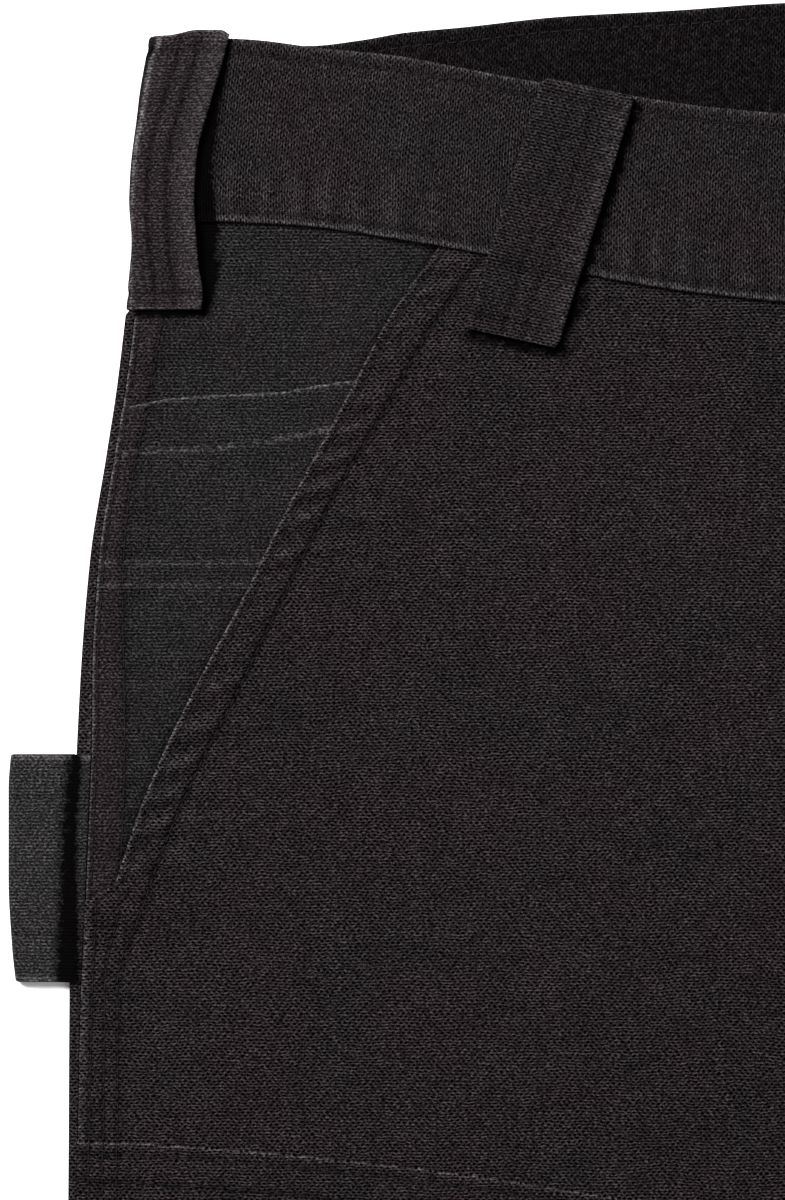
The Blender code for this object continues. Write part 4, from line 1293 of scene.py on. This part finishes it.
def side_loop(side, word):
    """The belt loop that folds round the side of the waistband."""
    start, end = -1, 68
    depth = edged_steps(start, end, 0.7)[:, None]
    _, _, run, bend = side_loop_run(depth)
    width = run + bend + np.maximum(LOOP_WIDTH - run - bend, 2.0)
    shares = np.concatenate([EDGE_STOPS / 24, np.linspace(0.055, 0.945, 42),
                             1 - EDGE_STOPS[::-1] / 24])
    distance = shares * width
    along = depth - start
    corner = 1.4 * ease((distance - 8) / 8) + 1.1 * bell(distance, 1.2) - 0.7
    depth = depth + corner * ease((4 - along) / 4)
    away = np.minimum(*(np.abs(distance - row) for row in SIDE_LOOP_ROWS))
    edge = np.minimum(distance, width - distance)
    ends = np.minimum(along, end - start - along)
    relief = 0.10 * waves(distance, along, 19, 61 + side) - 0.30 * bell(away, 0.9)
    relief = relief + 0.12 * bell(edge - 1.6, 1.3) - 0.26 * bell(ends - 4.0, 1.1)
    outer_out, outer_height, turn = side_loop_line(depth, distance, 0)
    inner_out, inner_height, _ = side_loop_line(depth, distance, STRAP)
    turning = outer_out - curve(SIDE_LOOP_TURN, depth) + 9 * (turn < 0)
    # Painted highlight along the line where the loop turns back
    turn_highlight = mix(0.5, 1.1, ease((44 - along) / 20)) * bell(turning, 0.5)
    wear_and_highlight = largest(0.6 * worn(edge, 0.45), 0.7 * bell(ends, 0.5), turn_highlight,
                   0.2 * ease((7 - distance) / 6))
    # Painted shade beyond the turn line, at the bar ends and, below, along the stitch rows
    turned_shade = 0.6 * ease((turning - 0.3) / 0.6) + 0.5 * bell(ends - 4.2, 0.8)
    outer_out = outer_out + relief * np.cos(turn)
    on_floor = turn < -math.pi / 2 + 0.02
    outer_height = outer_height + np.where(on_floor, 0.0, relief * np.sin(turn))
    outer = (outer_out, np.maximum(outer_height, 0.0))
    faces = wrapped_faces(side, depth, outer, (inner_out, inner_height),
                          np.minimum(edge, ends), 0.7)
    uv = np.stack(np.broadcast_arrays(distance * MM, -along * MM), axis=-1)
    fields = {"wear_and_highlight": wear_and_highlight, "away": away, "along": along + 0 * distance,
              "painted_shade": np.maximum(turned_shade, 0.5 * bell(away, 0.8))}
    return shell(f"belt_loop_side_{word}_cloth", faces[0], faces[1], uv, fields, SIDE_DUCK)


def back_loop(centre, word):
    """A belt loop on the back, flat between the waistband and the floor."""
    side = RIGHT if centre < 0 else LEFT
    length = BAND_HEIGHT + LOOP_BELOW_BAND
    along = steps((0, 0.2), (0.8, 1.2), (length - 0.8, 0.2), (length, 0))[:, None]
    across = strap_across([1.6, 2.6, 4.8, 7.6, 8.3, 8.9, 9.5, 10.2])
    out = abs(centre) + across + 0 * along
    depth = curve(BACK_TOP, np.abs(out)) + along
    relief, wear_and_highlight, away = strap_relief(along, across, length, LOOP_WIDTH, 71)
    faces = (np.maximum(-0.6 * relief, 0.0), STRAP + 0 * relief)
    return strap_shell(side, f"belt_loop_{word}_cloth", (out, depth), (along, across), faces,
                       {"wear_and_highlight": wear_and_highlight, "away": away})


def hammer_lines(depth, share):
    """Places and heights of the hammer loop's outer and inner faces, at each depth: along the
    top from its root, round the outer edge and back along the floor."""
    edge = curve(HAMMER_EDGE, share)
    fold, root = fold_out(depth), seam_out(depth) + 0.02
    top = 2 * FOLD_RADIUS + GAP + HAMMER_WALL
    centre = edge - HAMMER_RADIUS
    last = fold + GAP + 0.2
    lines = []
    for radius, inset, first_sag, sag, knee in (
        (HAMMER_RADIUS, 0.0, 0.75, 0.2, 2.0),
        (HAMMER_RADIUS - HAMMER_WALL, HAMMER_WALL, 0.0, 0.0, 1.8),
    ):
        quarter = 0.7 * radius
        places = [root, fold - 1.0, fold + knee, mix(fold, centre, 0.5), centre,
                  centre + quarter, centre + radius, centre + quarter, centre,
                  mix(fold, centre, 0.4), last]
        heights = [top - first_sag - inset, top - sag - inset, top - 0.3 - inset,
                   top - 1.0 - inset, 2 * HAMMER_RADIUS - inset, HAMMER_RADIUS + quarter,
                   HAMMER_RADIUS, HAMMER_RADIUS - quarter, inset, inset, inset]
        lines.append((places, heights))
    return lines


def hammer_loop(side):
    """The doubled strap at the side seam, which folds back under itself."""
    length = HAMMER_BOTTOM - HAMMER_TOP
    along = edged_steps(0, length, 0.8)
    depth = HAMMER_TOP + along
    rows, row_depth = along[:, None], depth[:, None]
    stops = np.concatenate([[0.0, 0.02, 0.06, 0.15, 0.35, 0.65], np.arange(1, 4, 0.2),
                            np.arange(4, 8, 0.34), np.arange(8, 9.4, 0.2),
                            [9.5, 9.75, 9.9, 9.96, 10.0]])
    grids = []
    for line in hammer_lines(depth, along / length):
        for values in line:
            knots = np.stack([np.broadcast_to(value, depth.shape) for value in values], axis=1)
            grids.append(np.stack([curve(list(enumerate(row)), stops) for row in knots]))
    outer_out, outer_height, inner_line, inner_height = grids
    ends = np.minimum(rows, length - rows)
    first_row_at, last_row_at = HAMMER_ROWS
    stitched = np.minimum(np.abs(rows - first_row_at), np.abs(length - last_row_at - rows))
    on_top = stops < 4.5
    from_fold = outer_out - fold_out(row_depth)
    slack = 0.22 * waves(outer_out, rows, 24, 81) * (stops > 0.9) * (stops < 5)
    hollow = 0.7 * bell(from_fold - 3.2, 2.4) * ease(rows / 30) * on_top
    press = 0.22 * bell(stitched, 0.8) * on_top * ease(from_fold / 5.0)
    outer_height = np.maximum(outer_height + on_top * (slack - press) - hollow, 0.0)
    inner_height = inner_height + on_top * slack - hollow
    from_root = np.where(stops < 2, np.abs(outer_out - outer_out[:, :1]), FAR)
    from_last = np.where(stops > 8, np.abs(outer_out - outer_out[:, -1:]), FAR)
    faces = wrapped_faces(side, row_depth, (outer_out, outer_height), (inner_line, inner_height),
                          np.minimum(np.minimum(from_root, from_last), ends), 0.6)
    around = length_round(outer_out, outer_height)
    uv = np.stack([around * MM, -rows * MM + 0 * around], axis=-1)
    wear_and_highlight = np.maximum(0.55 * bell(ends - 0.7, 0.7), 0.4 * bell(stops - 6, 0.5))
    # Painted shade in the valley where the loop leaves the side fold
    valley_start, valley_end = (curve(table, row_depth) for table in HAMMER_VALLEY)
    painted_shade = ease((outer_out - valley_start + 1.0) / 2.6) * ease((valley_end + 1.0 - outer_out) / 4.6)
    fields = {"wear_and_highlight": wear_and_highlight, "away": np.where(on_top, stitched, FAR), "along": outer_out,
              "painted_shade": 1.3 * painted_shade * on_top}
    return shell("hammer_loop_cloth", faces[0], faces[1], uv, fields, HAMMER_DUCK)


def stitches(lines):
    """Points, side faces and rings of thread stitches along lines, each a pair of points and
    outward directions. A stitch is four rings, sunk at both ends."""
    centres, ups, ways = [], [], []
    spots = np.array([-0.5, -0.25, 0.25, 0.5]) * (STITCH - STITCH_GAP) * MM
    for points, outward in lines:
        run = np.concatenate([[0.0], np.cumsum(np.linalg.norm(np.diff(points, axis=0), axis=1))])
        count = int(run[-1] / MM / STITCH)
        if count < 1:
            continue
        middles = (np.arange(count) + 0.5) * run[-1] / count
        at = middles[:, None] + spots
        line = np.stack([np.interp(at, run, points[:, k]) for k in range(3)], axis=-1)
        up = np.stack([np.interp(middles, run, outward[:, k]) for k in range(3)], axis=-1)
        way = line[:, -1] - line[:, 0]
        centres.append(line)
        ups.append(up / np.linalg.norm(up, axis=1)[:, None])
        ways.append(way / np.linalg.norm(way, axis=1)[:, None])
    centres, ups, ways = (np.concatenate(parts) for parts in (centres, ups, ways))
    across = np.cross(ups, ways)
    rise = np.array([-0.9, 0.25, 0.25, -0.9]) * THREAD_RADIUS * MM
    girth = np.array([0.55, 1.0, 1.0, 0.55]) * THREAD_RADIUS * MM
    sides = 5
    turns = TURN * np.arange(sides) / sides
    ring = (np.cos(turns)[None, None, :, None] * across[:, None, None, :]
            + np.sin(turns)[None, None, :, None] * ups[:, None, None, :])
    points = (centres + rise[:, None] * ups[:, None, :])[:, :, None, :]
    points = points + ring * girth[None, :, None, None]
    index = np.arange(len(centres) * 4 * sides).reshape(len(centres), 4, sides)
    ahead = np.roll(index, -1, axis=2)
    quads = np.stack([index[:, :-1], ahead[:, :-1], ahead[:, 1:], index[:, 1:]], axis=-1)
    return points.reshape(-1, 3), quads.reshape(-1, 4), index


def thread(name, lines):
    """An object of stitches, closed at both ends of each."""
    points, quads, index = stitches(lines)
    faces = quads.tolist() + [ring[::-1] for ring in index[:, 0].tolist()] + index[:, 3].tolist()
    mesh = bpy.data.meshes.new(name)
    mesh.from_pydata(points.tolist(), [], faces)
    mesh.update()
    return shown(name, mesh, THREAD)


def line_over(side, out, depth, height):
    """A line of points on the cloth's top, with their outward directions."""
    points = place(side, out, depth, height)
    return points, np.broadcast_to(UP, points.shape)


def on_front(side, out, depth):
    """Line over a front panel's top, or over its knee patch."""
    _, top, *_ = front_surface(side, out, depth)
    edge = curve(PATCH_TOP, out)
    patched = (depth > edge) & (depth < PATCH_BOTTOM)
    _, patch_top, *_ = patch_surface(side, out, depth, np.maximum(depth - edge, 0.0))
    return line_over(side, out, depth, np.where(patched, patch_top, top) + 0.12)


def front_threads(side, word):
    """All stitches of a front panel and of its knee patch."""
    pocket = steps((56, 1.5), (POCKET_END, 0))
    seam = steps((POCKET_END + 5, 1.5), (LENGTH - 2, 0))
    both = np.concatenate([pocket, seam])
    inseam = steps((CROTCH_DEPTH + 8, 3.0), (LENGTH - 2, 0))
    hem = np.linspace(inner_out(LENGTH) + 8, front_outer(LENGTH) - 11, 90)
    patch_top = np.linspace(inner_out(PATCH_TOP[0][1]) + 9, 229, 120)
    patch_low = np.linspace(inner_out(PATCH_BOTTOM) + 8, front_outer(PATCH_BOTTOM) - 11, 90)
    rows = [(first_row(pocket), pocket), (first_row(seam), seam), (second_row(both), both),
            (mix(first_row(seam), second_row(seam), 0.5), seam)]
    rows += [(inner_out(inseam) + inset, inseam) for inset in INSEAM_ROWS]
    rows += [(hem, 0 * hem + HEM_ROW)]
    rows += [(patch_top, curve(PATCH_TOP, patch_top) + inset) for inset in PATCH_ROWS]
    rows += [(patch_low, 0 * patch_low + PATCH_BOTTOM - inset) for inset in PATCH_ROWS]
    if side == LEFT:
        rows += fly_rows()
    return thread(f"front_{word}_thread", [on_front(side, out, depth) for out, depth in rows])


def fly_rows():
    """Two rows that hold the fly, curving to the centre at its lower end, and two of the seam."""
    rows = []
    for inset in (0.0, 6.0):
        depth = steps((74, 2.0), (FLY_END - 2 - inset, 0))
        turn = clip((depth - (FLY_END - 46)) / (44 - inset))
        rows.append(((FLY_WIDTH - 4 - inset) * np.sqrt(1 - turn ** 2) - 0.5, depth))
    depth = steps((FLY_END + 4, 2.0), (CROTCH_DEPTH - 8, 0))
    return rows + [(depth * 0 + inset, depth) for inset in INSEAM_ROWS]


def band_lines(side):
    """Stitch rows of the waistband's outer face, and of its inner face."""
    shares, turns = band_stations()
    along = band_run(side, shares, turns)
    turn = np.radians(turns)
    keep = slice(6, -2)
    lines = []
    for down, inward, sign in ((BAND_ROW_TOP, 0.0, 1), (BAND_HEIGHT - BAND_ROW_LOW, 0.0, 1),
                               (BAND_ROW_TOP, BAND, -1)):
        relief = band_relief(side, along, down)[0] if sign > 0 else 0.2
        points = band_points(side, shares, turns, np.full(len(shares), down),
                             inward - relief - sign * 0.1)
        outward = sign * np.stack([side * np.cos(turn), 0 * turn, np.sin(turn)], axis=-1)
        points, outward = points[keep], outward[keep]
        out = np.abs(points[:, 0]) / MM
        on_low_front = (points[:, 2] > 4 * MM) & (down > 20)
        shaded = on_low_front & (out > SHADED_BAND[0]) & (out < SHADED_BAND[1])
        breaks = np.flatnonzero(np.diff(shaded.astype(int))) + 1
        for part in np.split(np.arange(len(points)), breaks):
            if not shaded[part[0]] and len(part) > 1:
                lines.append((points[part], outward[part]))
    return lines


def facing_rows(depth):
    """Places of the rows of stitches beside the side seam and along the felled strip."""
    return seam_out(depth) - SEAM_GAP - FACING_ROW, curve(FACING_STRIP, depth) + STRIP_ROW


def facing_lines(side):
    """Stitch rows of a pocket facing, broken where the small pocket covers them."""
    depth = steps((71, 1.5), (FACING_END - 2, 0))
    groups = [depth[depth < 89], depth[depth > 139]] if side == RIGHT else [depth]
    lines = []
    for group in groups:
        for out in facing_rows(group):
            _, top, *_ = facing_faces(side, out, group)
            lines.append(line_over(side, out, group, top + 0.1))
    return lines


def coin_lines(side):
    """Stitch rows of the small pocket: three across it and two down its seam side."""
    level = np.linspace(190, 231, 60)
    rows = []
    for depth in (curve(COIN_ROW, level), *(0 * level + row for row in COIN_LOW_ROWS)):
        inside = level > curve(SLASH, depth) - 2
        rows.append((level[inside], depth[inside]))
    down = steps((94, 1.5), (137, 0))
    rows += [(out, down) for out in facing_rows(down)]
    lines = []
    for out, depth in rows:
        _, top, *_ = coin_faces(side, out, depth, depth - curve(COIN_EDGE, out))
        lines.append(line_over(side, out, depth, top + 0.1))
    return lines


def button():
    """Turned metal button with a rolled rim and a dished face."""
    base = band_level(LEFT, np.array(0.0)) + GAP
    profile = [(0.01, 0.0), (4.0, 0.0), (4.0, 1.2), (7.2, 1.35), (7.9, 1.5), (8.4, 1.8),
               (8.5, 2.15), (8.4, 2.6), (8.1, 3.0), (7.7, 3.25), (7.2, 3.3), (6.8, 3.15),
               (6.5, 2.95), (6.0, 2.85), (4.2, 2.9), (3.7, 3.0), (3.3, 3.15), (2.9, 3.35),
               (2.4, 3.4), (1.6, 3.36), (0.9, 3.34), (0.01, 3.33)]
    sides = 64
    turns = TURN * np.arange(sides) / sides
    radius, height = np.array(profile).T
    points = place(LEFT, radius[:, None] * np.cos(turns), BUTTON_DEPTH
                   + radius[:, None] * np.sin(turns), base + height[:, None])
    index = np.arange(len(profile) * sides).reshape(len(profile), sides)
    quads = net(np.concatenate([index, index[:, :1]], axis=1))
    return object_from("waist_button_metal", points.reshape(-1, 3), quads, BRASS)


def zip_tape():
    """Closed zip: tape and two rows of teeth."""
    base = steps((48, 0.4), (48.8, 3), (226.8, 0.4), (227.6, 0))
    across = np.concatenate([EDGE_STOPS, np.linspace(1.6, ZIP_TAPE - 1.6, 15),
                             ZIP_TAPE - EDGE_STOPS[::-1]])
    out = 0.6 + across[None, :] + 0 * base[:, None]
    depth = front_depths(base[:, None], out)
    under = front_under(RIGHT, out, depth) + 0.15
    top = under + ZIP_THICKNESS - 0.15 * (np.abs(out - ZIP_MIDDLE) > 4)
    fields = {"wear_and_highlight": 0 * out, "away": np.abs(out - 5.0), "along": depth}
    tape = cloth_grid(LEFT, "fly_zip_tape", out, depth, (under, top - 0.35, fields), DUCK)
    rows = np.arange(62, 224, 1.5)
    box = np.array([[-1, -1, -1], [1, -1, -1], [1, 1, -1], [-1, 1, -1],
                    [-1, -1, 1], [1, -1, 1], [1, 1, 1], [-1, 1, 1]], float)
    faces = np.array([[0, 3, 2, 1], [4, 5, 6, 7], [0, 1, 5, 4], [1, 2, 6, 5], [2, 3, 7, 6],
                      [3, 0, 4, 7]])
    points, quads = [], []
    for number, base_depth in enumerate(rows):
        out_at = ZIP_MIDDLE + (0.9 if number % 2 else -0.9)
        depth_at = float(front_depths(np.array(base_depth), np.array(out_at)))
        height = float(front_under(RIGHT, np.array(out_at), np.array(depth_at))) + 0.9
        centre = np.array([out_at, depth_at, height])
        corners = centre + box * np.array([1.5, 0.55, 0.32])
        quads.append(faces + 8 * number)
        points.append(place(LEFT, corners[:, 0], corners[:, 1], corners[:, 2]))
    teeth = object_from("fly_zip_teeth", np.concatenate(points), np.concatenate(quads), TEETH)
    return tape, teeth


# Light and camera, in metres and watts
Lamp = namedtuple("Lamp", "name location size power")
LAMPS = (
    Lamp("key", (-1.05, 1.25, 1.30), 0.7, 86.0),
    Lamp("fill", (1.1, -0.3, 1.9), 1.6, 10.0),
)
HIP = Vector((-0.16, 0.36, 0.0))
WORLD_LIGHT = 0.34
FLOOR_SIZE = 12
# Over the middle of the photo's frame, at a height where 1200 pixels take in 300 mm
CAMERA_PLACE = (-0.1611, 0.4141, 1.131)
LENS = 135
SENSOR = 36


def floor_and_light():
    """Pale floor, soft key light from the upper left, and a weak fill."""
    bpy.ops.mesh.primitive_plane_add(size=FLOOR_SIZE, location=(0, 0, 0))
    floor = bpy.context.object
    floor.name = "floor"
    pale = new_material("floor", Base_Color=(0.86, 0.86, 0.86, 1), Roughness=0.9,
                        Specular_IOR_Level=0.1)
    floor.data.materials.append(pale[0])
    for lamp in LAMPS:
        light = bpy.data.lights.new(lamp.name, "AREA")
        light.size = lamp.size
        light.energy = lamp.power
        stand = bpy.data.objects.new(lamp.name, light)
        stand.location = lamp.location
        stand.rotation_euler = (HIP - stand.location).to_track_quat("-Z", "Y").to_euler()
        bpy.context.scene.collection.objects.link(stand)
    world = bpy.data.worlds.new("studio")
    world.use_nodes = True
    background = world.node_tree.nodes["Background"]
    background.inputs["Color"].default_value = (1, 1, 1, 1)
    background.inputs["Strength"].default_value = WORLD_LIGHT
    bpy.context.scene.world = world
    bpy.context.scene.view_settings.view_transform = "Standard"


def camera():
    """Looks straight down on the wearer's right hip."""
    data = bpy.data.cameras.new("camera")
    data.lens = LENS
    data.sensor_width = SENSOR
    viewer = bpy.data.objects.new("camera", data)
    viewer.location = CAMERA_PLACE
    bpy.context.scene.collection.objects.link(viewer)
    bpy.context.scene.camera = viewer


# Middle of each belt loop on the back, across the garment, and its name
BACK_LOOPS = ((-115.0, "back_right"), (0.0, "back_centre"), (115.0, "back_left"))

camera()
floor_and_light()
for side, word in ((RIGHT, "right"), (LEFT, "left")):
    front = sew_on(front_panel(side, word), "duck", f"front_{word}")
    patch = sew_on(knee_patch(side, word), "duck", f"knee_patch_{word}")
    facing = sew_on(pocket_facing(side, word), "duck", f"pocket_facing_{word}")
    back = sew_on(back_panel(side, word), "duck", f"back_{word}")
    band = sew_on(waistband(side, word), "band_duck", f"waistband_{word}")
    loop = sew_on(front_loop(side, word), "strap_duck", f"belt_loop_front_{word}")
    at_side = sew_on(side_loop(side, word), "strap_duck", f"belt_loop_side_{word}")
    sewing = sew_on(front_threads(side, word), "duck")
    band_sewing = sew_on(thread(f"waistband_{word}_thread", band_lines(side)), "band_duck")
    facing_name = f"pocket_facing_{word}_thread"
    facing_sewing = sew_on(thread(facing_name, facing_lines(side)), "duck")
coin = sew_on(coin_pocket(RIGHT), "duck", "coin_pocket")
coin_sewing = sew_on(thread("coin_pocket_thread", coin_lines(RIGHT)), "duck")
for centre, word in BACK_LOOPS:
    at_back = sew_on(back_loop(centre, word), "strap_duck", f"belt_loop_{word}")
sew_on(hammer_loop(RIGHT), "strap_duck", "hammer_loop")
sew_on(button(), "button_metal", "waist_button")
tape, teeth = zip_tape()
sew_on(tape, "zip_tape", "fly_zip")
sew_on(teeth, "zip_tape")
